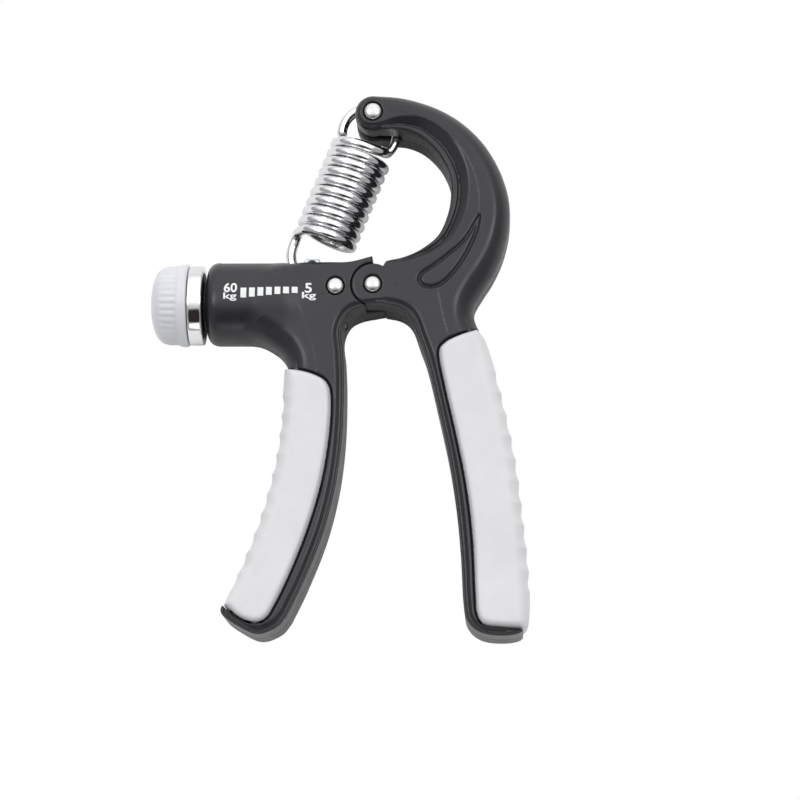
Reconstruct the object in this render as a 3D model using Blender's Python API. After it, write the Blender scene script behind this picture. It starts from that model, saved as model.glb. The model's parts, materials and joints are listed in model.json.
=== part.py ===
"""Adjustable hand grip strengthener: two handles on a riveted half-lap hinge, an extension spring
between the hook of the right handle and a lead-screw traveller in the barrel of the left handle.

Lengths are in millimetres in a design frame with the pivot's axis at x = y = 0 and the middle of the
thickness at z = 0. The last step scales to metres and stands the object's box on z = 0, centred.
"""
import math

import bmesh
import bpy
from mathutils import Matrix, Vector

MM = 0.001
GAP = 0.3                    # clearance between neighbouring pieces
CLEAR = 9.0                  # how far a cutter runs past the solid that it cuts
THROUGH = 20.0               # half length of a cutter through the whole thickness

# Frames
FACE = 10.4                  # half thickness at the flat faces
BAND = 4.0                   # half height of the upright side wall
DISC_R = 6.1                 # hinge discs, one on each frame
LAP = 0.6                    # each disc stops this far from the mid-plane
SINK_GAP = 0.35              # clearance round a disc and round a rivet's head
RECESS_R = DISC_R + SINK_GAP

# Grips
GRIP_FACE = 11.85            # half thickness of the soft grips: what the object rests on
GRIP_BAND = 6.5              # half height of the grips' upright outer wall
GRIP_WALL = 2.6
CORE = GRIP_FACE - GRIP_WALL - GAP

# Barrel and its screw
AXIS_Y = -3.9
BARREL_R = 11.7
BARREL_LEFT = -47.7
BORE_R = 8.0
BORE_END = -13.8
POCKET_R = 6.8               # seat of the end bearing, past the bore
SLOT_HALF = 4.3
SLOT_LEFT = -44.0
SLOT_RIGHT = -7.6
SLOT_FLOOR = 2.5
POCKET_END = SLOT_RIGHT - 0.1
BUSH_LEFT = BARREL_LEFT + 0.2
BUSH_RIGHT = BARREL_LEFT + 3.8
SCREW_R = 4.0
SCREW_PITCH = 2.0
THREAD_DEPTH = 0.55
SCREW_LEFT = -57.9
SCREW_RIGHT = -14.3
JOURNAL_R = 2.0
JOURNAL_END = -12.9
FIXING_R = 1.3               # hole along the lead screw for the knob's fixing screw
WASHER_R = 7.0
CLIP_R = 6.2
CLIP_WIDTH = 0.8

# Knob
KNOB_LEFT = -63.9
KNOB_R = 11.35
KNOB_WALL = 2.9
FLANGE_R = 11.85
FLANGE_LEFT = -55.6
FLANGE_RIGHT = -53.1
COLLAR_R = 11.4
COLLAR_RIGHT = -48.8
HUB_R = 9.3
HUB_RECESS_R = 3.6
HUB_RECESS = 2.4
FLUTES = 36
FLUTE_DEPTH = 0.3

# Rivets: centre, shank radius, head radius
PIVOT = (0.0, 0.0)
END_RIVET = (-10.6, -0.5)
HOOK_PIN = (-0.4, 51.2)
SHANK_R = 1.4
HEAD_R = 2.35
HOOK_HEAD_R = 2.5
HEAD_RISE = 0.75             # dome above the flat face
HEAD_EDGE = 0.35             # height of a head's upright edge
SINK = 1.0                   # depth of the counterbore round a head

# Traveller
NUT_LEFT = 3.6               # reach of the nut on each side of the spring's anchor
NUT_RIGHT = 3.0
NUT_TOP = 1.2
EAR_HALF = 2.4               # half width of the two ears
EAR_TOP = 1.9                # their height above the pin's axis
EAR_INSIDE = 1.8
PIN_R = 1.2
PIN_BORE_R = 1.5

# Spring and its two anchors
ANCHOR = (-17.7, 7.0)
WIRE_R = 1.45
COIL_R = 7.9
COIL_PITCH = 3.12
FIRST_TURN = 0.6
COIL_TURNS = 9.25
COIL_START = 7.05            # distance of the first turn from the anchor, along the spring
SLEEVE_R = 2.0
ROLLER_R = 2.0
EAR_SLOT_HALF = 2.2
EAR_OUTLINE_R = 5.2          # round end of the hook, about its pin

# Colours: base colour, roughness, metallic
CHARCOAL = ((0.052, 0.054, 0.058), 0.45, 0.0)
SOFT_GREY = ((0.74, 0.74, 0.76), 0.7, 0.0)
PALE_PLASTIC = ((0.62, 0.65, 0.72), 0.35, 0.0)
CHROME = ((0.85, 0.85, 0.86), 0.08, 1.0)
NICKEL = ((0.72, 0.71, 0.69), 0.3, 1.0)
ZINC = ((0.6, 0.64, 0.66), 0.35, 1.0)
NYLON = ((0.8, 0.79, 0.74), 0.5, 0.0)


# ---------------------------------------------------------------- curves
def spline(points, steps):
    """Catmull-Rom curve through points of any dimension, ends included."""
    pts = [Vector(p) for p in points]
    ends = [pts[0] * 2 - pts[1]] + pts + [pts[-1] * 2 - pts[-2]]
    out = []
    for a, b, c, d in zip(ends, ends[1:], ends[2:], ends[3:]):
        for i in range(steps):
            t = i / steps
            out.append(0.5 * (2 * b + (c - a) * t + (2 * a - 5 * b + 4 * c - d) * t * t
                              + (3 * b - a - 3 * c + d) * t ** 3))
    out.append(pts[-1])
    return out


def arc(centre, radius, start, end, steps, shoulder):
    """Points of a circle from start to end degrees, each with a shoulder width."""
    out = []
    for i in range(steps + 1):
        a = math.radians(start + (end - start) * i / steps)
        out.append(Vector((centre[0] + radius * math.cos(a), centre[1] + radius * math.sin(a), shoulder)))
    return out


def closed(*runs):
    """Runs joined into one loop, without the repeated points where they meet."""
    out = []
    for run in runs:
        for p in map(Vector, run):
            if not out or (p.xy - out[-1].xy).length > 0.05:
                out.append(p)
    if (out[0].xy - out[-1].xy).length < 0.05:
        out.pop()
    return out


def inset(loop, fraction):
    """Counter-clockwise loop moved inwards by a fraction of each point's shoulder width."""
    out = []
    for i, p in enumerate(loop):
        before = (p.xy - loop[i - 1].xy).normalized()
        after = (loop[(i + 1) % len(loop)].xy - p.xy).normalized()
        side = (Vector((-before.y, before.x)) + Vector((-after.y, after.x))) / 2
        side /= max(side.length_squared, 0.4)
        out.append(p.xy + side * p.z * fraction)
    return out


# ---------------------------------------------------------------- solids
def loft(rings, mesh):
    """Skin between rings of equal length, with both ends filled."""
    loops = [[mesh.verts.new(p) for p in ring] for ring in rings]
    count = len(loops[0])
    for low, high in zip(loops, loops[1:]):
        for i in range(count):
            j = (i + 1) % count
            mesh.faces.new((low[i], low[j], high[j], high[i]))
    mesh.faces.new(loops[0][::-1])
    mesh.faces.new(loops[-1])


def slab(loop, half, band=BAND):
    """Plate of half thickness half, upright up to band, then a convex shoulder as wide as each point says."""
    rise = half - band
    levels = ((0.0, band), (0.3, band + rise * 0.75), (1.0, half))
    mesh = bmesh.new()
    rings = []
    for fraction, z in levels[::-1]:
        rings.append([(p.x, p.y, -z) for p in inset(loop, fraction)])
    for fraction, z in levels:
        rings.append([(p.x, p.y, z) for p in inset(loop, fraction)])
    loft(rings, mesh)
    return mesh


def prism(loop, low, high):
    """Straight prism between two heights."""
    mesh = bmesh.new()
    loft([[(p.x, p.y, low) for p in loop], [(p.x, p.y, high) for p in loop]], mesh)
    return mesh


def box(low, high):
    corners = [Vector((x, y)) for x, y in ((low[0], low[1]), (high[0], low[1]), (high[0], high[1]),
                                           (low[0], high[1]))]
    return prism(corners, low[2], high[2])


def turned(profile, sides=32):
    """Solid of revolution about z, from (radius, z) pairs round a section; a zero radius closes an end."""
    mesh = bmesh.new()
    solid = profile[0][0] == 0
    rings = []
    for radius, z in profile[1:-1] if solid else profile:
        turn = [2 * math.pi * i / sides for i in range(sides)]
        rings.append([mesh.verts.new((radius * math.cos(a), radius * math.sin(a), z)) for a in turn])
    pairs = list(zip(rings, rings[1:]))
    if not solid:
        pairs.append((rings[-1], rings[0]))
    for low, high in pairs:
        for i in range(sides):
            j = (i + 1) % sides
            mesh.faces.new((low[i], low[j], high[j], high[i]))
    if solid:
        mesh.faces.new(rings[0])
        mesh.faces.new(rings[-1])
    bmesh.ops.recalc_face_normals(mesh, faces=mesh.faces)
    return mesh


def rod(radius, low, high, sides=16):
    """Plain round rod about z, mostly a drill."""
    return turned([(0, low), (radius, low), (radius, high), (0, high)], sides)


def along_barrel(mesh):
    """Turn a solid made about z so that its axis lies on the barrel's, z becoming x."""
    mesh.transform(Matrix.Translation((0, AXIS_Y, 0)) @ Matrix.Rotation(math.radians(90), 4, "Y"))
    return mesh


def at(mesh, centre, z=0.0):
    mesh.transform(Matrix.Translation((centre[0], centre[1], z)))
    return mesh


def tube(path, radius, sides=6):
    """Round wire along a path, with flat ends."""
    mesh = bmesh.new()
    rings = []
    normal = None
    for i, p in enumerate(path):
        tangent = (path[min(i + 1, len(path) - 1)] - path[max(i - 1, 0)]).normalized()
        if normal is None:
            normal = tangent.orthogonal()
        normal = (normal - tangent * normal.dot(tangent)).normalized()
        other = tangent.cross(normal)
        turn = [2 * math.pi * k / sides for k in range(sides)]
        rings.append([p + radius * (math.cos(a) * normal + math.sin(a) * other) for a in turn])
    loft(rings, mesh)
    return mesh


# ---------------------------------------------------------------- objects
def material(name, look):
    colour, roughness, metallic = look
    mat = bpy.data.materials.new(name)
    mat.use_nodes = True
    shader = mat.node_tree.nodes["Principled BSDF"]
    shader.inputs["Base Color"].default_value = (*colour, 1)
    shader.inputs["Roughness"].default_value = roughness
    shader.inputs["Metallic"].default_value = metallic
    return mat


def empty(name, centre, parent=None):
    """Empty on a joint's axis; centre is in the design frame."""
    obj = bpy.data.objects.new(name, None)
    bpy.context.scene.collection.objects.link(obj)
    obj["centre"] = (centre[0], centre[1], 0.0)
    obj.parent = parent
    base = Vector(parent["centre"]) if parent else Vector()
    obj.location = (Vector(obj["centre"]) - base) * MM
    return obj


def piece(name, mesh, look, carrier):
    """Named object from a mesh in the design frame, hung on the empty that carries it."""
    mesh.transform(Matrix.Scale(MM, 4) @ Matrix.Translation(-Vector(carrier["centre"])))
    data = bpy.data.meshes.new(name)
    mesh.to_mesh(data)
    mesh.free()
    obj = bpy.data.objects.new(name, data)
    bpy.context.scene.collection.objects.link(obj)
    obj.parent = carrier
    if look:
        data.materials.append(material(name, look))
        data.shade_smooth()
        data.set_sharp_from_angle(angle=math.radians(35))
    return obj


def combine(target, mesh, operation="DIFFERENCE"):
    """Cut a mesh away from an object, or join it on, with a hidden helper."""
    helper = piece(target.name + "_helper", mesh, None, target.parent)
    helper.hide_render = True
    helper.display_type = "WIRE"
    modifier = target.modifiers.new(operation.lower(), "BOOLEAN")
    modifier.operation = operation
    modifier.solver = "EXACT"
    modifier.object = helper


def drill(target, centre, radius, head_radius):
    """Through hole for a rivet, with a counterbore at each face."""
    rim = head_radius + SINK_GAP
    floor = FACE - SINK
    top = FACE + CLEAR
    bore = turned([(0, -top), (rim, -top), (rim, -floor), (radius, -floor), (radius, floor), (rim, floor),
                   (rim, top), (0, top)], 20)
    combine(target, at(bore, centre))


# ---------------------------------------------------------------- outlines: x, y, shoulder width
def handle_right_outer():
    """Outer side of the right handle, upwards."""
    return [(43.8, -96.5, 3.5), (44.4, -91, 3.5), (44.0, -80, 3.5), (42.5, -66, 3.5), (40.5, -50.4, 3.5),
            (37.6, -36, 3.5), (34.7, -24.5, 3.5), (31.9, -15, 4)]


def handle_right_inner():
    """Inner side of the right handle, downwards from the arch."""
    return [(2.6, -5.5, 0.8), (7.6, -6.6, 1.2), (10.9, -9.4, 2), (13.2, -15.5, 2.6), (15.6, -22.5, 2.6),
            (18.9, -36.5, 2.6), (21.9, -50.4, 2.6), (24.0, -64.2, 2.6), (25.3, -77.8, 2.6),
            (26.1, -91.4, 2.6), (27.4, -96.4, 2.6), (31, -99.3, 2.6), (36.5, -100.1, 2.6),
            (41.8, -99.3, 2.8), (43.8, -96.5, 3.5)]


def right_outline():
    waist = [(31.9, -15, 4), (29.3, -10.5, 5), (28.8, -6, 5.5), (31.1, -1.5, 5.8), (34.1, 3.3, 5.6),
             (36.9, 9.6, 5), (38.7, 17, 4.6), (38.9, 24.5, 4.2), (37.3, 31.7, 4.1), (34.2, 38.6, 4.1),
             (29.7, 44.9, 4.1), (23.4, 50.4, 4.2), (15.9, 54.3, 4.2), (8.1, 56.3, 3.4), (-0.2, 56.4, 1.6)]
    hook_inside = [(1.8, 46.2, 1.6), (7.6, 45.8, 4.6), (13.5, 43.5, 6), (18.4, 38.8, 6.4), (21.4, 33, 6),
                   (22.1, 27.4, 5.6), (21.3, 21.5, 5.2), (18.7, 15, 4.4), (14.4, 10.8, 3), (9.2, 8.2, 1.4),
                   (3.7, 6.9, 0.8)]
    ear = arc(HOOK_PIN, EAR_OUTLINE_R, 88, 292, 14, 1.6)
    return closed(spline(handle_right_inner(), 3), spline(handle_right_outer(), 2), spline(waist, 3), ear,
                  spline(hook_inside, 3), arc(PIVOT, DISC_R, 62, 244.5, 14, 0.5))


def left_outline():
    arch = [(2.6, -5.5, 0.5)]
    tip = [(-0.1, 7.4, 0.4), (-0.1, 8.3, 0.5)]
    top = [(-0.1, 8.3, 0.5), (-6.8, 6.8, 1), (-14, 6.9, 1.6), (-22, 6.9, 2.5), (-30, 4.5, 3), (-36, -4, 4),
           (-35.5, -12.5, 5)]
    outside = [(-35.5, -12.5, 5), (-30.0, -16.4, 6), (-26.0, -19.6, 6), (-24.1, -24, 5), (-24.7, -31, 4),
               (-25.4, -39, 3.5), (-26.9, -50.1, 3.5), (-30.0, -63.5, 3.5), (-34.6, -77, 3.5),
               (-40.7, -90.6, 3.5)]
    bottom = [(-40.7, -90.6, 3.5), (-41.3, -94, 2.8), (-37, -97.4, 2.6), (-31.2, -99.9, 2.6),
              (-25.7, -98, 2.6), (-22.9, -94.8, 2.6)]
    inside = [(-22.9, -94.8, 2.6), (-18.2, -84.8, 2.6), (-13.0, -71.1, 2.6), (-9.7, -57.3, 2.6),
              (-8.1, -43.5, 2.6), (-7.8, -29.5, 2.6), (-8.2, -20, 2.6), (-8.8, -13.5, 2.6),
              (-7.1, -8.8, 2), (-3.4, -6.6, 1.2), (2.6, -5.5, 0.5)]
    return closed(arc(PIVOT, DISC_R, -64.5, 91, 12, 0.5), tip, spline(top, 3), spline(outside, 2),
                  spline(bottom, 2), spline(inside, 3), arch)


def left_grip_rim():
    """Edge of the left grip on the frame's face, from the outer side at the bottom to that at the top."""
    return spline([(-40.8, -91.6, 2.5), (-36.6, -95.2, 1.2), (-32, -96.8, 1.2), (-28.6, -95.6, 1.2),
                   (-26, -91.4, 1.2), (-22.3, -83.5, 1.2), (-17.7, -71.5, 1.2), (-13.8, -58, 1.2),
                   (-11.6, -44, 1.2), (-11.2, -33, 1.2), (-12.6, -28.2, 1.2), (-16.5, -25.8, 1.2),
                   (-21, -24.6, 1.2), (-24.8, -24.2, 1.6)], 2)


def right_grip_rim():
    """Edge of the right grip on the frame's face, from the outer side at the top to that at the bottom."""
    return spline([(29.7, -12.8, 1.6), (24.5, -14.6, 1.2), (20.4, -16.8, 1.2), (18.7, -20.2, 1.2),
                   (20.5, -30, 1.2), (23.6, -43.5, 1.2), (26.5, -58, 1.2), (28.3, -72.5, 1.2),
                   (29.1, -88, 1.2), (29.6, -94, 1.2), (31.6, -97, 1.2), (37, -97.8, 1.2),
                   (42.6, -98, 1.6)], 2)


def left_grip_outline():
    outer = [(-24.8, -24.2, 1.6), (-25.2, -31, 4), (-25.6, -39, 4.2), (-27.0, -50.1, 4.2),
             (-30.1, -63.5, 4.2), (-34.7, -77, 4.2), (-40.8, -91.6, 2.5)]
    return closed(left_grip_rim(), spline(outer, 2))


def right_grip_outline():
    outer = [(42.6, -98, 1.6), (44.0, -96, 3), (44.5, -91, 4.2), (44.1, -80, 4.2), (42.6, -66, 4.2),
             (40.6, -50.4, 4.2), (37.7, -36, 4.2), (34.8, -24.5, 4.2), (32.0, -16, 3), (29.7, -12.8, 1.6)]
    return closed(right_grip_rim(), spline(outer, 2))


def grip_room(rim, outwards):
    """Outline of the room for a grip: its rim widened by the gap, and open past the outer side."""
    wide = []
    for i, p in enumerate(rim):
        run = rim[min(i + 1, len(rim) - 1)].xy - rim[max(i - 1, 0)].xy
        wide.append(p.xy + Vector((run.y, -run.x)).normalized() * GAP)
    far = Vector((outwards, 0))
    return closed([wide[0] + far], wide, [wide[-1] + far])


def core_outline(side, spread=0.0):
    """Core of a handle inside its grip, running on into the frame at both ends and at the rim."""
    inward = GRIP_WALL + GAP - spread
    if side == "left":
        wall = [(-24.7, -18), (-25.1, -31), (-25.6, -39), (-27.0, -50.1), (-30.1, -63.5), (-34.7, -77),
                (-40.4, -90), (-41.3, -99 + inward)]
        wall = [(x + inward, y, 1) for x, y in wall]
        inner = [(-28, -99 + inward, 1), (-20, -84.8, 1), (-14.5, -71.1, 1), (-11.2, -57.3, 1),
                 (-9.7, -43.5, 1), (-9.4, -29.5, 1), (-10.5, -18, 1)]
        return closed(spline(wall, 1), spline(inner, 1))
    wall = [(28.6, -8), (32.0, -16), (34.8, -24.5), (37.7, -36), (40.6, -50.4), (42.6, -66),
            (44.1, -80), (44.5, -91), (44.5, -99 + inward)]
    wall = [(x - inward, y, 1) for x, y in wall][::-1]
    inner = [(18, -8, 1), (17.5, -24, 1), (20.5, -36.5, 1), (23.4, -50.4, 1), (25.5, -64.2, 1),
             (26.8, -77.8, 1), (27.4, -99 + inward, 1)]
    return closed(spline(inner, 1), spline(wall, 1))


def spring_line():
    """Anchor, unit vector from the anchor to the hook's pin, and the distance between them."""
    start = Vector((*ANCHOR, 0))
    reach = Vector((*HOOK_PIN, 0)) - start
    return start, reach.normalized(), reach.length


def eye_centre():
    """Distance from the anchor to the middle of the spring's upper eye."""
    return spring_line()[2] - (COIL_R - WIRE_R - ROLLER_R - GAP)


def eye_slot():
    """Slot between the ears of the hook: round the eye on the right, open to the left and above."""
    start, along, _ = spring_line()
    middle = start + along * eye_centre()
    edge = arc(middle, COIL_R + WIRE_R + GAP, -70, 75, 14, 0)
    return closed(edge, [(edge[-1].x, 62, 0), (-14, 62, 0), (-14, 38, 0)])


# ---------------------------------------------------------------- frames and grips
def right_frame(carrier):
    """Handle, hinge disc in the front half, and the hook that carries the spring's upper end."""
    frame = piece("right_frame", slab(right_outline(), FACE), CHARCOAL, carrier)
    combine(frame, prism(grip_room(right_grip_rim(), CLEAR), -THROUGH, THROUGH))
    combine(frame, prism(core_outline("right"), -CORE, CORE), "UNION")
    combine(frame, turned([(0, -THROUGH), (RECESS_R, -THROUGH), (RECESS_R, LAP), (0, LAP)], 40))
    combine(frame, prism(eye_slot(), -EAR_SLOT_HALF, EAR_SLOT_HALF))
    drill(frame, PIVOT, SHANK_R + GAP, HEAD_R)
    drill(frame, HOOK_PIN, SHANK_R + GAP, HOOK_HEAD_R)
    return frame


def left_frame(carrier):
    """Handle, hinge disc in the rear half, and the slotted barrel that guides the traveller."""
    frame = piece("left_frame", slab(left_outline(), FACE), CHARCOAL, carrier)
    combine(frame, prism(grip_room(left_grip_rim(), -CLEAR), -THROUGH, THROUGH))
    combine(frame, prism(core_outline("left"), -CORE, CORE), "UNION")
    barrel = turned([(0, BARREL_LEFT), (BARREL_R - 1.6, BARREL_LEFT), (BARREL_R - 0.4, BARREL_LEFT + 0.5),
                     (BARREL_R, BARREL_LEFT + 1.7), (BARREL_R, -26), (BARREL_R - 1.3, -18),
                     (BARREL_R - 4, -13), (0, -13)], 48)
    combine(frame, along_barrel(barrel), "UNION")
    pocket = turned([(0, BARREL_LEFT - CLEAR), (BORE_R, BARREL_LEFT - CLEAR), (BORE_R, BORE_END),
                     (POCKET_R, BORE_END), (POCKET_R, POCKET_END), (0, POCKET_END)], 32)
    combine(frame, along_barrel(pocket))
    combine(frame, box((SLOT_LEFT, SLOT_FLOOR, -SLOT_HALF), (SLOT_RIGHT, BARREL_R, SLOT_HALF)))
    combine(frame, turned([(0, -LAP), (RECESS_R, -LAP), (RECESS_R, THROUGH), (0, THROUGH)], 40))
    drill(frame, PIVOT, SHANK_R + GAP, HEAD_R)
    drill(frame, END_RIVET, SHANK_R + GAP, HEAD_R)
    return frame


def grip(name, outline, side, carrier):
    """Soft grip: a C-shaped moulding round the front, back and outer side of the handle's core."""
    body = piece(name, slab(outline, GRIP_FACE, GRIP_BAND), SOFT_GREY, carrier)
    reach = GRIP_FACE - GRIP_WALL
    combine(body, prism(core_outline(side, GAP), -reach, reach))
    return body


# ---------------------------------------------------------------- fasteners
def rivet(name, centre, head_radius, carrier):
    """Rivet with a domed head at each face."""
    seat = FACE - SINK + GAP
    edge = seat + HEAD_EDGE
    top = FACE + HEAD_RISE
    half = [(SHANK_R, seat), (head_radius, seat), (head_radius, edge)]
    for i in range(1, 5):
        a = math.radians(90 * i / 4)
        half.append((head_radius * math.cos(a), edge + (top - edge) * math.sin(a)))
    half[-1] = (0.5, top)
    half.append((0, top))
    profile = [(r, -z) for r, z in half[::-1]] + half
    return piece(name, at(turned(profile, 16), centre), NICKEL, carrier)


def ring(name, centre, inner, outer, half, look, carrier):
    """Plain washer, sleeve or roller about z."""
    section = [(inner, -half), (outer, -half), (outer, half), (inner, half)]
    return piece(name, at(turned(section, 24), centre), look, carrier)


# ---------------------------------------------------------------- knob and screw
def knob_cap(carrier):
    """Fluted cap with a low domed end and a flange against the collar."""
    sides = FLUTES * 2
    skin = [(0, KNOB_LEFT, 0), (4.5, KNOB_LEFT + 0.15, 0), (8.2, KNOB_LEFT + 1.1, 0),
            (10.2, KNOB_LEFT + 2.4, 0), (KNOB_R - 0.35, KNOB_LEFT + 3.8, 1), (KNOB_R, KNOB_LEFT + 5, 1),
            (KNOB_R, FLANGE_LEFT - 0.1, 1), (FLANGE_R, FLANGE_LEFT, 0), (FLANGE_R, FLANGE_RIGHT, 0),
            (HUB_R + GAP, FLANGE_RIGHT, 0), (HUB_R + GAP, KNOB_LEFT + KNOB_WALL, 0),
            (0, KNOB_LEFT + KNOB_WALL, 0)]
    mesh = turned([(r, x) for r, x, _ in skin], sides)
    fluted = [(r, x) for r, x, deep in skin if deep]
    for v in mesh.verts:
        radius = v.co.xy.length
        if any(abs(radius - r) < 1e-3 and abs(v.co.z - x) < 1e-3 for r, x in fluted):
            step = round(math.atan2(v.co.y, v.co.x) / (2 * math.pi) * sides)
            if step % 2:
                v.co.xy *= (radius - FLUTE_DEPTH) / radius
    return piece("knob_cap", along_barrel(mesh), PALE_PLASTIC, carrier)


def knob_hub(carrier):
    """Black hub inside the cap and the collar, recessed for its fixing screw."""
    left = KNOB_LEFT + KNOB_WALL + GAP
    floor = left + HUB_RECESS
    section = [(0, floor), (HUB_RECESS_R, floor), (HUB_RECESS_R, left), (HUB_R, left), (HUB_R, COLLAR_RIGHT),
               (SCREW_R + GAP, COLLAR_RIGHT), (SCREW_R + GAP, SCREW_LEFT - GAP), (0, SCREW_LEFT - GAP)]
    hub = piece("knob_hub", along_barrel(turned(section, 32)), CHARCOAL, carrier)
    combine(hub, along_barrel(rod(FIXING_R, left - CLEAR, SCREW_LEFT + 2)))
    return hub


def knob_screw(carrier):
    """Countersunk screw that holds the hub on the lead screw."""
    left = KNOB_LEFT + KNOB_WALL + 2 * GAP
    seat = left + 1.8
    end = SCREW_LEFT + 5
    radius = FIXING_R - GAP
    section = [(0, left), (3.1, left), (3.1, left + 0.6), (radius, seat), (radius, end), (0, end)]
    return piece("knob_screw", along_barrel(turned(section, 20)), ZINC, carrier)


def lead_screw(carrier):
    """Threaded rod with a blind hole for the knob's screw and a journal at its inner end."""
    sides = 10
    rows = 3
    mesh = bmesh.new()
    count = int((SCREW_RIGHT - SCREW_LEFT) / SCREW_PITCH * rows)
    rings = []
    for i in range(count + 1):
        x = SCREW_LEFT + i * SCREW_PITCH / rows
        ring_points = []
        for k in range(sides):
            a = 2 * math.pi * k / sides
            phase = (x / SCREW_PITCH - k / sides) % 1.0
            plain = x < SLOT_LEFT + 1 or i == count
            r = SCREW_R - (THREAD_DEPTH if plain else 2 * THREAD_DEPTH * abs(phase - 0.5))
            ring_points.append((r * math.cos(a), r * math.sin(a), x))
        rings.append(ring_points)
    for x in (rings[-1][0][2] + 0.01, JOURNAL_END):
        turn = [2 * math.pi * k / sides for k in range(sides)]
        rings.append([(JOURNAL_R * math.cos(a), JOURNAL_R * math.sin(a), x) for a in turn])
    loft(rings, mesh)
    screw = piece("lead_screw", along_barrel(mesh), ZINC, carrier)
    combine(screw, along_barrel(rod(FIXING_R, SCREW_LEFT - 1, SCREW_LEFT + 6)))
    return screw


def barrel_ring(name, left, right, inner, outer, look, carrier, sides=32):
    """Ring about the barrel's axis."""
    section = [(inner, left), (outer, left), (outer, right), (inner, right)]
    return piece(name, along_barrel(turned(section, sides)), look, carrier)


def retaining_clip(carrier):
    """Open snap ring that stops the lead screw from sliding out of its bush."""
    outer = arc((0, 0), CLIP_R, 30, 330, 14, 0)
    inner = arc((0, 0), SCREW_R + GAP, 330, 30, 14, 0)
    left = BUSH_RIGHT + 0.4
    mesh = prism([p.xy for p in outer + inner], left, left + CLIP_WIDTH)
    return piece("retaining_clip", along_barrel(mesh), ZINC, carrier)


def end_bearing(carrier):
    """Block at the blind end of the barrel that holds the lead screw's journal."""
    left = BORE_END + GAP
    right = POCKET_END - GAP
    seat = JOURNAL_END + GAP
    radius = POCKET_R - GAP
    section = [(0, seat), (JOURNAL_R + GAP, seat), (JOURNAL_R + GAP, left), (radius, left), (radius, right),
               (0, right)]
    block = piece("end_bearing", along_barrel(turned(section, 24)), NYLON, carrier)
    combine(block, box((left - 1, SLOT_FLOOR - 0.5, -CLEAR), (right + 1, CLEAR, CLEAR)))
    combine(block, at(rod(SHANK_R + GAP, -CLEAR, CLEAR, 20), END_RIVET))
    return block


# ---------------------------------------------------------------- traveller and spring
def traveller(carrier):
    """Nut that slides in the barrel, with two ears through the slot for the spring's pin."""
    left = ANCHOR[0] - NUT_LEFT
    right = ANCHOR[0] + NUT_RIGHT
    section = [(SCREW_R + GAP, left), (BORE_R - GAP, left), (BORE_R - GAP, right), (SCREW_R + GAP, right)]
    nut = piece("traveller_nut", along_barrel(turned(section, 28)), ZINC, carrier)
    combine(nut, box((left - 1, NUT_TOP, -CLEAR), (right + 1, CLEAR, CLEAR)))
    corner = 0.9
    top = ANCHOR[1] + EAR_TOP - corner
    reach = EAR_HALF - corner
    ear = closed([Vector((ANCHOR[0] - EAR_HALF, 0.6, 0)), Vector((ANCHOR[0] + EAR_HALF, 0.6, 0))],
                 arc((ANCHOR[0] + reach, top), corner, 0, 90, 4, 0),
                 arc((ANCHOR[0] - reach, top), corner, 90, 180, 4, 0))
    for low, high in ((EAR_INSIDE, SLOT_HALF - GAP), (GAP - SLOT_HALF, -EAR_INSIDE)):
        combine(nut, prism(ear, low, high), "UNION")
    combine(nut, at(rod(PIN_BORE_R, -CLEAR, CLEAR), ANCHOR))
    return nut


def spring_paths():
    """Centre lines of the spring's lower and upper halves, each with its hook or loop."""
    start, along, _ = spring_line()
    across = Vector((along.y, -along.x, 0))
    depth = along.cross(across)

    def coil(turns):
        a = 2 * math.pi * turns
        return start + along * (COIL_START + COIL_PITCH * turns) + COIL_R * (math.cos(a) * across
                                                                             + math.sin(a) * depth)

    def loop(centre, degrees):
        a = math.radians(degrees)
        return start + along * centre + COIL_R * (math.cos(a) * across + math.sin(a) * along)

    def bridge(points):
        return spline(points, 4)

    hook_centre = COIL_R - WIRE_R - SLEEVE_R - GAP
    last = FIRST_TURN + COIL_TURNS
    middle = (FIRST_TURN + last) / 2
    per_turn = 12
    cut = 3 * GAP / (2 * math.pi * COIL_R)

    def helix(a, b):
        count = round((b - a) * per_turn)
        return [coil(a + (b - a) * i / count) for i in range(count + 1)]

    hook = [loop(hook_centre, d) for d in range(315, 179, -15)]
    shoulder = loop(hook_centre, 180) + along * 2.4 - depth * 0.5
    entry = bridge([hook[-1], shoulder, coil(FIRST_TURN - 0.06) - along * 0.6, coil(FIRST_TURN + 0.03)])
    lower = hook[:-1] + entry + helix(FIRST_TURN + 0.09, middle - cut / 2)
    eye = [loop(eye_centre(), d) for d in range(-15, 196, 15)] + [loop(eye_centre(), 202)]
    leave = bridge([coil(last - 0.03), coil(last + 0.05) + along * 0.6, loop(eye_centre(), -27) - depth * 0.5,
                    eye[0]])
    upper = helix(middle + cut / 2, last - 0.09) + leave + eye[1:]
    return lower, upper


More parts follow.
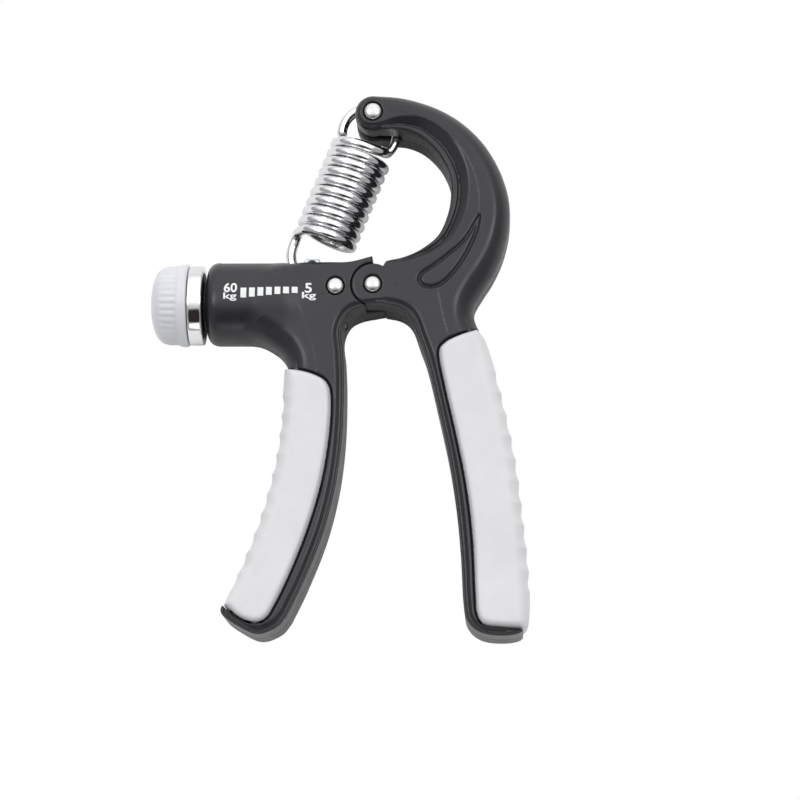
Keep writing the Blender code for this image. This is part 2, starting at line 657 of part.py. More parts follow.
# ---------------------------------------------------------------- assembly
def build():
    root = empty("object_origin", PIVOT)
    left = empty("left_handle_axis", PIVOT, root)
    right = empty("right_handle_axis", PIVOT, root)
    barrel = empty("barrel_axis", (0, AXIS_Y), left)
    slide = empty("traveller_axis", ANCHOR, left)
    spring = empty("spring_axis", HOOK_PIN, right)

    rivet("hinge_rivet", PIVOT, HEAD_R, root)
    ring("hinge_washer", PIVOT, SHANK_R + GAP, 4.6, LAP - GAP, ZINC, root)

    left_frame(left)
    grip("left_grip", left_grip_outline(), "left", left)
    rivet("end_rivet", END_RIVET, HEAD_R, left)
    end_bearing(left)
    barrel_ring("barrel_bush", BUSH_LEFT, BUSH_RIGHT, SCREW_R + GAP, BORE_R - GAP, NYLON, left)

    right_frame(right)
    grip("right_grip", right_grip_outline(), "right", right)
    rivet("hook_rivet", HOOK_PIN, HOOK_HEAD_R, right)
    ring("hook_roller", HOOK_PIN, SHANK_R + GAP, ROLLER_R, EAR_SLOT_HALF - GAP, ZINC, right)

    knob_cap(barrel)
    knob_hub(barrel)
    knob_screw(barrel)
    barrel_ring("chrome_collar", FLANGE_RIGHT + GAP, COLLAR_RIGHT, HUB_R + GAP, COLLAR_R, CHROME, barrel, 48)
    lead_screw(barrel)
    barrel_ring("thrust_washer", COLLAR_RIGHT + GAP, BARREL_LEFT - 0.1, SCREW_R + GAP, WASHER_R, CHARCOAL,
                barrel)
    retaining_clip(barrel)

    traveller(slide)
    end = SLOT_HALF - GAP
    piece("traveller_pin", at(rod(PIN_R, -end, end), ANCHOR), NICKEL, slide)
    ring("pin_sleeve", ANCHOR, PIN_BORE_R, SLEEVE_R, 1.5, ZINC, slide)

    lower, upper = spring_paths()
    piece("spring_lower", tube(lower, WIRE_R), CHROME, spring)
    piece("spring_upper", tube(upper, WIRE_R), CHROME, spring)
    return root


def stand_on_floor(root):
    """Move the whole object so that its box is centred on x = y = 0 and stands on z = 0."""
    bpy.context.view_layer.update()
    depsgraph = bpy.context.evaluated_depsgraph_get()
    corners = []
    for obj in bpy.context.scene.objects:
        if obj.type == "MESH" and not obj.hide_render:
            final = obj.evaluated_get(depsgraph)
            corners += [final.matrix_world @ v.co for v in final.data.vertices]
    low = Vector(min(c[i] for c in corners) for i in range(3))
    high = Vector(max(c[i] for c in corners) for i in range(3))
    root.location -= Vector(((low.x + high.x) / 2, (low.y + high.y) / 2, low.z))


for old in list(bpy.data.objects):
    bpy.data.objects.remove(old)
stand_on_floor(build())
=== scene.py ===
"""Looks of the adjustable hand grip strengthener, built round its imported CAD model.

Lengths are in millimetres in the design frame: the hinge's axis at x = y = 0, the middle of the thickness at
z = 0. place() turns them into metres in the row frame. The mouldings are solids given as distance functions,
negative inside, which surface() turns into quads.
"""

import json
import math

import bmesh
import bpy
import numpy as np
from mathutils import Matrix, Vector


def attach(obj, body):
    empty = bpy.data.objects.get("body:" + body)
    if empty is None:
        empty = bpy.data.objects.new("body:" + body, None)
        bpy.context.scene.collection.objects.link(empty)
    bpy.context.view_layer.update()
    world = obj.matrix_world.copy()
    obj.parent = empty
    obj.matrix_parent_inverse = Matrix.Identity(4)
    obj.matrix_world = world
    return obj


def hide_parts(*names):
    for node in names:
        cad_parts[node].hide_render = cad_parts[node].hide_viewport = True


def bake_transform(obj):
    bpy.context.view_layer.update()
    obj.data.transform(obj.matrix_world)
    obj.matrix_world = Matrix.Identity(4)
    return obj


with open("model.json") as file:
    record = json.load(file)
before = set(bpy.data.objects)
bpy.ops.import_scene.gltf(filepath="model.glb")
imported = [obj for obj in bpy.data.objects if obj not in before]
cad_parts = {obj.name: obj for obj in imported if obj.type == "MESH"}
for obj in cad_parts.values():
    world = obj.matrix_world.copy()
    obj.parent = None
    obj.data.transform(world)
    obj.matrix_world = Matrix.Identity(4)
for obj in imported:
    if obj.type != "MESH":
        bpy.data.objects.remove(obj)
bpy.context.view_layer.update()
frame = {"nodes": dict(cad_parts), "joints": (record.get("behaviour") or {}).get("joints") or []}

MM = 0.001
PIVOT = Vector(next(j for j in frame["joints"] if j["name"] == "squeeze")["pos_m"])
FINE = 0.38      # spacing of the mouldings' quads
GAP = 0.3

# Frames
FACE = 10.4                  # half thickness at the flat faces
BAND = 4.0                   # half height of the upright wall under a wide shoulder
WALL = 8.9                   # half height of the upright wall beside a grooved rim
STEEP = 1.6                  # drop of a shoulder over its width, where it is narrow
CREASE = 0.5                 # share of the shoulder's quarter ellipse outside the flat's crease
FILLET = 0.4                 # softening of the creases
RIM = 2.6                    # ordinary width of a grooved rim
LIP = 0.55                   # width of its lip
GROOVE = 1.15                # depth of its groove
LEAF_DEPTH = 0.85
DISC_R = 6.1
LAP = 0.6                    # half the gap between the two half-lapped discs of the hinge
RECESS_R = DISC_R + 0.2
PARTING = 0.14

# Grips
GRIP_FACE = 11.85
GRIP_BAND = 6.5
GRIP_WALL = 2.6
CORE = GRIP_FACE - GRIP_WALL - GAP
SCALLOP = 0.55
LEFT_SCALLOPS = (-88.5, -32.0, 5.65)    # both ends of the row of scallops, and its pitch
RIGHT_SCALLOPS = (-88.0, -25.0, 6.3)

# Barrel and screw
AXIS_Y = -3.9
BARREL_R = 11.7
BARREL_LEFT = -47.7
BARREL_RIGHT = -13.0
BARREL_EDGE = 2.0
BARREL_BLEND = 2.4
BARREL_TALL = 1.033          # the barrel is slightly taller across than it is thick
BARREL_RISE = 0.3            # and sits slightly above the screw's axis
BARREL_TAPER = 4.0           # how much thinner it is at its right end, and where that starts
TAPER_LEFT = -27
BORE_R = 8.0
BORE_END = -13.8
END_POCKET_R = 6.8
SLOT_HALF = 4.3
SLOT_LEFT = -44.0
SLOT_RIGHT = -7.6
SLOT_FLOOR = AXIS_Y + 6.4
SCREW_R = 4.0
SCREW_PITCH = 2.0
THREAD = 0.55
SCREW_LEFT = -57.9
SCREW_RIGHT = -14.3
JOURNAL_R = 2.0
JOURNAL_END = -12.9

# Knob
KNOB_LEFT = -63.9
KNOB_R = 11.35
KNOB_WALL = 2.9
FLANGE_R = 11.85
FLANGE_LEFT = -55.6
FLANGE_RIGHT = -53.1
COLLAR_R = 11.4
COLLAR_RIGHT = -48.8
HUB_R = 9.3
FLUTES = 36
FLUTE_DEPTH = 0.3

# Rivets
HINGE_RIVET = (0.0, 0.0)
END_RIVET = (-10.6, -0.5)
HOOK_RIVET = (-0.4, 51.2)
SHANK_R = 1.4
HEAD_R = 2.35
HOOK_HEAD_R = 2.5
HEAD_RISE = 0.75
SINK = 1.0                   # depth of the heads' counterbores

# Traveller: the nut's reach to the left and right of the anchor, its top, and its ears
NUT_LEFT = 3.6
NUT_RIGHT = 3.0
NUT_TOP = 1.2
EAR_HALF = 2.4
EAR_TOP = 1.9
EAR_INSIDE = 1.8

# Spring
ANCHOR = (-17.7, 7.0)
WIRE_R = 1.45
COIL_R = 7.9
COIL_PITCH = 3.12
COIL_TURNS = 9.25
COIL_START = 7.05
FIRST_TURN = 0.6
HOOK_END = 289               # degrees round the lower hook, which has to clear the nut at full squeeze
SQUEEZE = 25                 # degrees that the right handle turns
SLEEVE_R = 2.0
ROLLER_R = 2.0
EAR_SLOT_HALF = 2.2

# Printed scale
STRIP = 0.4                  # widest strip of ink round the barrel
INK = 0.03
BOLD = 0.022
TEXTS = (                    # text, left, top, width and height
    ("60", -42.2, 0.1, 3.8, 2.9), ("kg", -42.3, -2.85, 3.8, 2.4),
    ("5", -19.2, 0.2, 2.0, 2.9), ("kg", -20.0, -2.45, 4.0, 2.4),
)
BARS = 7
BARS_LEFT = -37.4
BAR_PITCH = 2.42
BAR_WIDTH = 1.65
FIRST_BAR = (-4.3, -1.4)     # lower and upper end of the leftmost bar
BAR_RISE = (1.45, 0.35)      # how far both ends rise to the rightmost bar

# Camera: distance from its aim point, and tilt to the right and towards the handles
CAMERA_DISTANCE = 800.0
CAMERA_AIM = (7.68, -31.57)
TILT_RIGHT = 2.2
TILT_DOWN = 11.8
LENS = 126.3


# ---- curves
def spline(points, steps):
    """Catmull-Rom curve through points of any dimension, ends included."""
    pts = [np.array(p, float) for p in points]
    ends = [2 * pts[0] - pts[1]] + pts + [2 * pts[-1] - pts[-2]]
    out = []
    for a, b, c, d in zip(ends, ends[1:], ends[2:], ends[3:]):
        for i in range(steps):
            t = i / steps
            out.append(0.5 * (2 * b + (c - a) * t + (2 * a - 5 * b + 4 * c - d) * t * t
                              + (3 * b - a - 3 * c + d) * t ** 3))
    out.append(pts[-1])
    return out


def side(points, steps, rim=0.0):
    """Smooth stretch of an outline from (x, y, shoulder width) points. The rim is 1 where it is grooved."""
    return spline([(*p, rim) for p in points], steps)


def arc(centre, radius, start, end, steps, width=1.0):
    """Points of a circle from start to end degrees."""
    out = []
    for i in range(steps + 1):
        a = math.radians(start + (end - start) * i / steps)
        out.append(np.array([centre[0] + radius * math.cos(a), centre[1] + radius * math.sin(a), width, 0.0]))
    return out


def closed(*runs):
    """Runs joined into one loop without repeated points, with shoulder widths and rim values smoothed."""
    loop = []
    for run in runs:
        for p in run:
            if not loop or np.hypot(*(p - loop[-1])[:2]) > 0.05:
                loop.append(p)
    if np.hypot(*(loop[0] - loop[-1])[:2]) < 0.05:
        loop.pop()
    loop = np.array(loop)
    for _ in range(3):
        loop[:, 2:] = (np.roll(loop, 1, 0)[:, 2:] + 2 * loop[:, 2:] + np.roll(loop, -1, 0)[:, 2:]) / 4
    return loop


class Outline:
    """Distance inside a closed outline, with the shoulder width and rim value of its nearest point."""

    def __init__(self, loop, margin=4.0, step=0.25):
        self.low = loop[:, :2].min(0) - margin
        self.step = step
        size = ((loop[:, :2].max(0) + margin - self.low) / step).astype(int) + 2
        x = self.low[0] + step * np.arange(size[0])[:, None]
        y = self.low[1] + step * np.arange(size[1])[None, :]
        best = np.full(size, np.inf)
        width = np.zeros(size)
        rim = np.zeros(size)
        inside = np.zeros(size, bool)
        for a, b in zip(loop, np.roll(loop, -1, 0)):
            run = b - a
            t = ((x - a[0]) * run[0] + (y - a[1]) * run[1]) / (run[0] ** 2 + run[1] ** 2)
            t = np.clip(t, 0, 1)
            away = (x - a[0] - t * run[0]) ** 2 + (y - a[1] - t * run[1]) ** 2
            closer = away < best
            best = np.where(closer, away, best)
            width = np.where(closer, a[2] + t * run[2], width)
            rim = np.where(closer, a[3] + t * run[3], rim)
            if a[1] != b[1]:
                beyond = x < a[0] + run[0] * (y - a[1]) / run[1]
                inside ^= ((a[1] > y) != (b[1] > y)) & beyond
        self.layers = [np.where(inside, 1, -1) * np.sqrt(best), width, rim]

    def __call__(self, x, y):
        """Distance inside, shoulder width and rim value at points."""
        shape = self.layers[0].shape
        u = np.clip((x - self.low[0]) / self.step, 0, shape[0] - 1.001)
        v = np.clip((y - self.low[1]) / self.step, 0, shape[1] - 1.001)
        i, j = u.astype(int), v.astype(int)
        u, v = u - i, v - j
        out = []
        for layer in self.layers:
            low = layer[i, j] * (1 - u) + layer[i + 1, j] * u
            high = layer[i, j + 1] * (1 - u) + layer[i + 1, j + 1] * u
            out.append(low * (1 - v) + high * v)
        return out


# ---- distance functions
def union(a, b, blend=0.0):
    """Smooth union of two distances, with a fillet about as wide as blend."""
    if not blend:
        return np.minimum(a, b)
    h = np.clip(0.5 + 0.5 * (b - a) / blend, 0, 1)
    return b * (1 - h) + a * h - blend * h * (1 - h)


def overlap(a, b, blend=0.0):
    return -union(-a, -b, blend)


def cut(a, b, blend=0.0):
    return overlap(a, -b, blend)


def between(value, low, high):
    return np.maximum(low - value, value - high)


def cylinder(x, y, z, centre, radius, low, high):
    """Upright cylinder between two heights."""
    return np.maximum(np.hypot(x - centre[0], y - centre[1]) - radius, between(z, low, high))


def smoothstep(value, low, high):
    t = np.clip((value - low) / (high - low), 0, 1)
    return t * t * (3 - 2 * t)


def quarter(inside, height, reach, rise):
    """Distance to a quarter ellipse: reach wide at its foot and rise high, upright outside it."""
    a = np.maximum(reach - inside, 0) / reach
    b = np.maximum(height, 0) / rise
    q = np.sqrt(a * a + b * b)
    slope = np.sqrt((a / reach) ** 2 + (b / rise) ** 2) / np.maximum(q, 1e-6)
    shallow = 1 / np.minimum(reach, rise)
    slope = np.where(q < 1e-4, shallow, np.maximum(slope, 1e-6))
    return (q - 1) / slope


def moulding(inside, width, rim, z, relief=0.0):
    """Plate with a creased shoulder, or with a groove and a lip along its rim where rim is 1.

    The shoulder is the outer part of a quarter ellipse, so the flat ends in a crease. On a rim the flat
    slopes down from its crease to a groove just inside a narrow lip, and the wall beyond is upright.
    """
    lip = np.clip(LIP + 0.5 * (width - RIM), 0.4, 1.9)
    groove = lip + 0.45
    deep = GROOVE + 0.3 * (width - RIM)
    slope = np.clip((width - inside) / np.maximum(width - groove, 0.3), 0, 1)
    cove = np.where(inside > groove, slope, 1 - 0.55 * smoothstep(groove - inside, 0, 0.55))
    top = FACE - relief - rim * deep * cove
    plain = np.maximum(BAND, FACE - STEEP * width)
    broad = smoothstep(width, 2.8, 5)
    band = plain + rim * (WALL - plain) - rim * 2.4 * broad
    reach = (1 - rim) * width / CREASE + rim * (0.45 + 0.9 * broad)
    rise = (1 - rim) * (FACE - plain) / math.sqrt(1 - (1 - CREASE) ** 2) + rim * (FACE - band)
    wall = quarter(inside, np.abs(z) - band, reach, rise)
    return overlap(wall, np.abs(z) - top, FILLET)


def drilled(body, x, y, z, centre, radius, head_radius):
    """Body with a rivet's through hole and its counterbores, whose rims are slightly rounded."""
    body = cut(body, cylinder(x, y, z, centre, radius, -FACE - 3, FACE + 3))
    floor = FACE - SINK
    seat = np.maximum(np.hypot(x - centre[0], y - centre[1]) - head_radius - 0.35, floor - np.abs(z))
    return cut(body, seat, 0.15)


def parted(body, z):
    """Fine parting line round the middle of the wall."""
    return body + PARTING * np.exp(-(z / 0.2) ** 2)


# ---- outlines: x, y, shoulder width
def right_outline():
    inner = [(2.6, -5.5, 1.8), (7.6, -6.6, 2.0), (10.9, -9.4, 2.4), (13.2, -15.5, 2.6), (15.6, -22.5, 2.6),
             (18.9, -36.5, 2.6), (21.9, -50.4, 2.6), (24.0, -64.2, 2.6), (25.3, -77.8, 2.6),
             (26.1, -91.4, 2.6), (27.4, -96.4, 2.6), (31, -99.3, 2.6), (36.5, -100.1, 2.6),
             (41.8, -99.3, 2.8), (43.8, -96.5, 3.2)]
    outer = [(43.8, -96.5, 3.5), (44.4, -91, 3.5), (44.0, -80, 3.5), (42.5, -66, 3.5), (40.5, -50.4, 3.5),
             (37.6, -36, 3.5), (34.7, -24.5, 3.5), (31.9, -15, 4.2)]
    waist = [(31.9, -15, 4.6), (29.3, -10.5, 5.4), (28.8, -6, 5.6), (31.1, -1.5, 5.8), (34.1, 3.3, 5.6),
             (36.9, 9.6, 5), (38.7, 17, 4.6), (38.9, 24.5, 4.4), (37.3, 31.7, 4.3), (34.2, 38.6, 4.2),
             (29.7, 44.9, 4.2), (23.4, 50.4, 4.2), (15.9, 54.3, 4.2), (8.1, 56.3, 3.4), (-0.2, 56.4, 1.8)]
    ear = arc(HOOK_RIVET, 5.2, 88, 292, 40, 1.8)
    inside = [(1.8, 46.2, 1.8), (7.6, 45.8, 4.2), (13.5, 43.5, 5.6), (18.4, 38.8, 5.9), (21.4, 33, 5.6),
              (22.1, 27.4, 5.3), (21.3, 21.5, 5.0), (18.7, 15, 4.2), (14.4, 10.8, 3), (9.2, 8.2, 1.6),
              (3.7, 6.9, 0.8)]
    disc = arc((0, 0), DISC_R, 62, 244.5, 60, 0.5)
    return closed(side(inner, 8, 1.0), side(outer, 4), side(waist, 8), ear, side(inside, 8, 1.0), disc)


def left_outline():
    disc = arc((0, 0), DISC_R, -64.5, 91, 50, 0.5)
    tip = side([(-0.1, 7.4, 0.4), (-0.1, 8.3, 0.5)], 2)
    top = [(-0.1, 8.3, 0.5), (-6.8, 6.8, 1), (-14, 6.9, 1.6), (-22, 6.9, 2.5), (-30, 4.5, 3), (-36, -4, 4),
           (-35.5, -12.5, 5)]
    outside = [(-35.5, -12.5, 5), (-30.0, -16.4, 6), (-26.0, -19.6, 6), (-24.1, -24, 5.4), (-24.7, -31, 4),
               (-25.4, -39, 3.5), (-26.9, -50.1, 3.5), (-30.0, -63.5, 3.5), (-34.6, -77, 3.5),
               (-40.7, -90.6, 3.4)]
    bottom = [(-40.7, -90.6, 3.2), (-41.3, -94, 2.8), (-37, -97.4, 2.6), (-31.2, -99.9, 2.6),
              (-25.7, -98, 2.6), (-22.9, -94.8, 2.6)]
    inside = [(-22.9, -94.8, 2.6), (-18.2, -84.8, 2.6), (-13.0, -71.1, 2.6), (-9.7, -57.3, 2.6),
              (-8.1, -43.5, 2.6), (-7.8, -29.5, 2.6), (-8.2, -20, 2.6), (-8.8, -13.5, 2.6),
              (-7.1, -8.8, 2.2), (-3.4, -6.6, 2.0), (2.6, -5.5, 1.8)]
    return closed(disc, tip, side(top, 8), side(outside, 8), side(bottom, 8, 1.0), side(inside, 8, 1.0))


def left_grip_rim():
    """Edge of the left grip on the frame's face, from the outer side at the bottom to that at the top."""
    return side([(-40.8, -91.6, 2.5), (-36.6, -95.2, 1.2), (-32, -96.8, 1.2), (-28.6, -95.6, 1.2),
                 (-26, -91.4, 1.2), (-22.3, -83.5, 1.2), (-17.7, -71.5, 1.2), (-13.8, -58, 1.2),
                 (-11.6, -44, 1.2), (-11.2, -33, 1.2), (-12.6, -28.2, 1.2), (-16.5, -25.8, 1.2),
                 (-21, -24.6, 1.2), (-24.8, -24.2, 1.6)], 8)


def right_grip_rim():
    """Edge of the right grip on the frame's face, from the outer side at the top to that at the bottom."""
    return side([(29.7, -12.8, 1.6), (24.5, -14.6, 1.2), (20.4, -16.8, 1.2), (18.7, -20.2, 1.2),
                 (20.5, -30, 1.2), (23.6, -43.5, 1.2), (26.5, -58, 1.2), (28.3, -72.5, 1.2),
                 (29.1, -88, 1.2), (29.6, -94, 1.2), (31.6, -97, 1.2), (37, -97.8, 1.2), (42.6, -98, 1.6)], 8)


def left_grip_outline():
    outer = [(-24.8, -24.2, 1.6), (-25.2, -31, 4), (-25.6, -39, 4.2), (-27.0, -50.1, 4.2),
             (-30.1, -63.5, 4.2), (-34.7, -77, 4.2), (-40.8, -91.6, 2.5)]
    return closed(left_grip_rim(), side(outer, 8))


def right_grip_outline():
    outer = [(42.6, -98, 1.6), (44.0, -96, 3), (44.5, -91, 4.2), (44.1, -80, 4.2), (42.6, -66, 4.2),
             (40.6, -50.4, 4.2), (37.7, -36, 4.2), (34.8, -24.5, 4.2), (32.0, -16, 3), (29.7, -12.8, 1.6)]
    return closed(right_grip_rim(), side(outer, 8))


def grip_room(rim, outwards):
    """Outline of the room for a grip: its rim widened by the gap, and open past the outer side."""
    wide = []
    for i, p in enumerate(rim):
        run = rim[min(i + 1, len(rim) - 1)] - rim[max(i - 1, 0)]
        beside = np.array([run[1], -run[0]]) / np.hypot(run[0], run[1])
        wide.append(np.array([*(p[:2] + beside * GAP), 1, 0]))
    far = np.array([outwards, 0, 0, 0])
    return closed([wide[0] + far], wide, [wide[-1] + far])


def core_outline(handle, spread=0.0):
    """Core of a handle inside its grip, running on into the frame at both ends and at the rim."""
    inward = GRIP_WALL + GAP - spread
    if handle == "left":
        wall = [(-24.7, -18), (-25.1, -31), (-25.6, -39), (-27.0, -50.1), (-30.1, -63.5), (-34.7, -77),
                (-40.4, -90), (-41.3, -99 + inward)]
        wall = [(x + inward, y, 1) for x, y in wall]
        inner = [(-28, -99 + inward, 1), (-20, -84.8, 1), (-14.5, -71.1, 1), (-11.2, -57.3, 1),
                 (-9.7, -43.5, 1), (-9.4, -29.5, 1), (-10.5, -18, 1)]
        return closed(side(wall, 2), side(inner, 2))
    wall = [(28.6, -8), (32.0, -16), (34.8, -24.5), (37.7, -36), (40.6, -50.4), (42.6, -66), (44.1, -80),
            (44.5, -91), (44.5, -99 + inward)]
    wall = [(x - inward, y, 1) for x, y in wall][::-1]
    inner = [(18, -8, 1), (17.5, -24, 1), (20.5, -36.5, 1), (23.4, -50.4, 1), (25.5, -64.2, 1),
             (26.8, -77.8, 1), (27.4, -99 + inward, 1)]
    return closed(side(inner, 2), side(wall, 2))


def leaf_outline():
    """Centre line of the groove round the leaf below the hook."""
    tip = (30.2, 19.9, 1)
    upper = [tip, (26.2, 13.1, 1), (21.7, 8.9, 1), (17.4, 5.5, 1), (14.1, 3.2, 1), (13.2, 1.3, 1),
             (14.6, -0.5, 1), (17.0, -0.9, 1)]
    lower = [(17.0, -0.9, 1), (20.0, 0.5, 1), (24.0, 4.9, 1), (27.3, 10.5, 1), (29.4, 15.8, 1), tip]
    return closed(side(upper, 6), side(lower, 6))


# ---- meshes
def surface(shape, xs, ys, zs):
    """Quads round a solid.

    Each cell that the surface crosses gets one vertex, at the mean of the crossings on its edges, which then
    moves onto the surface along the slope.
    """
    value = shape(xs[:, None, None], ys[None, :, None], zs[None, None, :]).astype(np.float32)
    inside = value < 0
    cells = tuple(n - 1 for n in value.shape)
    place_in_cell = np.zeros((3, *cells), np.float32)
    count = np.zeros(cells, np.int8)
    crossings = []
    for axis in range(3):
        start = np.moveaxis(value, axis, 0)[:-1]
        end = np.moveaxis(value, axis, 0)[1:]
        crossed = (start < 0) != (end < 0)
        part = np.where(crossed, start / np.where(crossed, start - end, 1), 0)
        crossed = np.moveaxis(crossed, 0, axis)
        part = np.moveaxis(part, 0, axis)
        crossings.append(crossed)
        others = [k for k in range(3) if k != axis]
        for near in ((0, 0), (0, 1), (1, 0), (1, 1)):
            window = [slice(None)] * 3
            for k, offset in zip(others, near):
                window[k] = slice(offset, offset + cells[k])
            hit = crossed[tuple(window)]
            count += hit
            place_in_cell[axis] += part[tuple(window)]
            for k, offset in zip(others, near):
                place_in_cell[k] += offset * hit
    used = np.argwhere(count > 0)
    number = np.full(cells, -1, np.int64)
    number[tuple(used.T)] = np.arange(len(used))
    points = np.empty((len(used), 3))
    for axis, grid in enumerate((xs, ys, zs)):
        share = place_in_cell[axis][tuple(used.T)] / count[tuple(used.T)]
        low = grid[used[:, axis]]
        points[:, axis] = low + share * (grid[used[:, axis] + 1] - low)
    return settle(shape, points), surface_quads(crossings, inside, number, cells)


def surface_quads(crossings, inside, number, cells):
    """One quad round each crossed grid edge, facing out."""
    quads = []
    for axis in range(3):
        edges = np.argwhere(crossings[axis])
        b, c = (axis + 1) % 3, (axis + 2) % 3
        whole = (edges[:, b] > 0) & (edges[:, b] < cells[b]) & (edges[:, c] > 0) & (edges[:, c] < cells[c])
        edges = edges[whole]
        corners = []
        for back_b, back_c in ((1, 1), (0, 1), (0, 0), (1, 0)):
            cell = edges.copy()
            cell[:, b] -= back_b
            cell[:, c] -= back_c
            corners.append(number[tuple(cell.T)])
        quad = np.stack(corners, 1)
        flip = ~inside[tuple(edges.T)]
        quad[flip] = quad[flip][:, ::-1]
        quads.append(quad)
    return np.concatenate(quads)


def slope_at(shape, points, reach=0.03):
    """Value and gradient of a distance function at points."""
    value = shape(*points.T)
    slope = np.empty_like(points)
    for axis in range(3):
        step = np.zeros(3)
        step[axis] = reach
        slope[:, axis] = (shape(*(points + step).T) - shape(*(points - step).T)) / (2 * reach)
    return value, slope


def settle(shape, points, rounds=3):
    """Points moved onto the surface, at most a third of a millimetre each round."""
    for _ in range(rounds):
        value, slope = slope_at(shape, points)
        steep = np.maximum((slope ** 2).sum(1), 0.2)
        shift = np.clip(value / steep, -0.33, 0.33)
        points = points - slope * shift[:, None]
    return points


def levels(low, high, step):
    count = int(math.ceil((high - low) / step)) + 1
    return low + step * np.arange(count)


def thickness_levels(half):
    """Heights through a moulding: fine near both faces and at the middle, coarser on the plain wall."""
    middle = levels(0.17, 1.1, 0.31)
    wall = levels(middle[-1] + 0.6, 6.4, 0.75)
    face = levels(wall[-1] + FINE, half + 2 * FINE, FINE)
    upper = np.concatenate([middle, wall, face])
    return np.concatenate([-upper[::-1], upper])


def place(points):
    """Design frame in millimetres to the row frame in metres."""
    return np.asarray(points) * MM + np.array(PIVOT)


def solid(name, points, faces, body, look, replaces=(), sharp=None):
    """Mesh object from points in the design frame, riding on a body."""
    data = bpy.data.meshes.new(name)
    data.from_pydata(place(points).tolist(), [], [list(map(int, f)) for f in faces])
    data.shade_smooth()
    if sharp:
        data.set_sharp_from_angle(angle=math.radians(sharp))
    data.materials.append(look)
    obj = bpy.data.objects.new(name, data)
    bpy.context.scene.collection.objects.link(obj)
    if body:
        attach(obj, body)
    if replaces:
        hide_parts(*replaces)
    return obj


def rounded(profile, radius, steps=3):
    """Closed or open profile with its corners rounded, each by at most a third of its shorter side."""
    pts = [np.array(p, float) for p in profile]
    out = []
    for i, p in enumerate(pts):
        before, after = pts[i - 1], pts[(i + 1) % len(pts)]
        on_axis = p[0] == 0 or (i in (0, len(pts) - 1) and pts[0][0] == 0)
        a, b = before - p, after - p
        length = min(np.hypot(*a), np.hypot(*b))
        if on_axis or length < 1e-6:
            out.append(p)
            continue
        reach = min(radius, length / 3)
        a, b = p + a / np.hypot(*a) * reach, p + b / np.hypot(*b) * reach
        for k in range(steps + 1):
            t = k / steps
            out.append(a * (1 - t) ** 2 + 2 * p * t * (1 - t) + b * t * t)
    return out


def ring_faces(rings, sides, around=False):
    """Quads between rings of points: round and round, or with a cap at each end."""
    faces = []
    for ring in range(rings if around else rings - 1):
        a, b = ring * sides, (ring + 1) % rings * sides
        for i in range(sides):
            j = (i + 1) % sides
            faces.append((a + i, a + j, b + j, b + i))
    if not around:
        top = (rings - 1) * sides
        faces.append(tuple(range(sides))[::-1])
        faces.append(tuple(top + i for i in range(sides)))
    return faces


def turned(profile, sides=96, bump=None):
    """Points and faces of a solid of revolution about z from (radius, z) pairs.

    A radius of zero closes an end. bump(radius, z, angles) may change the radius round a ring.
    """
    full = profile[0][0] == 0
    rows = profile[1:-1] if full else profile
    angles = 2 * math.pi * np.arange(sides) / sides
    points = []
    for radius, z in rows:
        r = bump(radius, z, angles) if bump else np.full(sides, radius)
        points.append(np.stack([r * np.cos(angles), r * np.sin(angles), np.full(sides, z)], 1))
    return np.concatenate(points), ring_faces(len(rows), sides, not full)


def along_barrel(points):
    """Points made about z turned so that z becomes x on the barrel's axis."""
    x, y, z = points.T
    return np.stack([z, y + AXIS_Y, -x], 1)


def outwards(points, faces):
    """Faces flipped if the solid is inside out, from the sign of its volume."""
    volume = 0.0
    for f in faces:
        a = points[f[0]]
        for k in range(1, len(f) - 1):
            volume += np.dot(a, np.cross(points[f[k]], points[f[k + 1]]))
    return faces if volume > 0 else [f[::-1] for f in faces]


def ring_piece(name, profile, body, look, replaces, centre=None, edge=0.15, sides=96, sharp=40):
    """Turned piece about the barrel's axis, or about z at a centre."""
    points, faces = turned(rounded(profile, edge), sides)
    if centre is None:
        points = along_barrel(points)
    else:
        points = points + np.array([*centre, 0])
    return solid(name, points, outwards(points, faces), body, look, replaces, sharp)


def tube(path, radius, sides=20):
    """Round wire along a path, with slightly rounded ends."""
    path = np.asarray(path, float)
    tangents = np.gradient(path, axis=0)
    tangents /= np.linalg.norm(tangents, axis=1)[:, None]
    normal = np.cross(tangents[0], (0, 0, 1))
    rings = []
    turn = 2 * math.pi * np.arange(sides) / sides
    for p, t in zip(path, tangents):
        normal = normal - t * normal.dot(t)
        normal /= np.linalg.norm(normal)
        other = np.cross(t, normal)
        rings.append(p + radius * (np.cos(turn)[:, None] * normal + np.sin(turn)[:, None] * other))
    bevels = []
    for end, out in ((0, -tangents[0]), (-1, tangents[-1])):
        bevels.append(path[end] + (rings[end] - path[end]) * 0.72 + out * 0.35)
    points = np.concatenate([bevels[0], *rings, bevels[1]])
    return points, outwards(points, ring_faces(len(rings) + 2, sides))


# ---- materials
def new_look(name):
    """Material with a Principled shader, and a short way to add nodes to it."""
    mat = bpy.data.materials.new(name)
    mat.use_nodes = True
    tree = mat.node_tree
    shader = tree.nodes["Principled BSDF"]

    def add(kind, **values):
        node = tree.nodes.new(kind)
        for key, value in values.items():
            if hasattr(node, key):
                setattr(node, key, value)
            else:
                node.inputs[key.replace("_", " ").title()].default_value = value
        return node

    coords = add("ShaderNodeTexCoord").outputs["Object"]
    return mat, tree.links, shader, add, coords


def noise(add, links, coords, scale, detail=3.0, roughness=0.6):
    node = add("ShaderNodeTexNoise", Scale=scale, Detail=detail, Roughness=roughness)
    links.new(coords, node.inputs["Vector"])
    return node.outputs["Fac"]


def ranged(add, links, value, low, high):
    """Noise value stretched to a range."""
    node = add("ShaderNodeMapRange", from_min=0.3, from_max=0.7, to_min=low, to_max=high)
    links.new(value, node.inputs["Value"])
    return node.outputs["Result"]


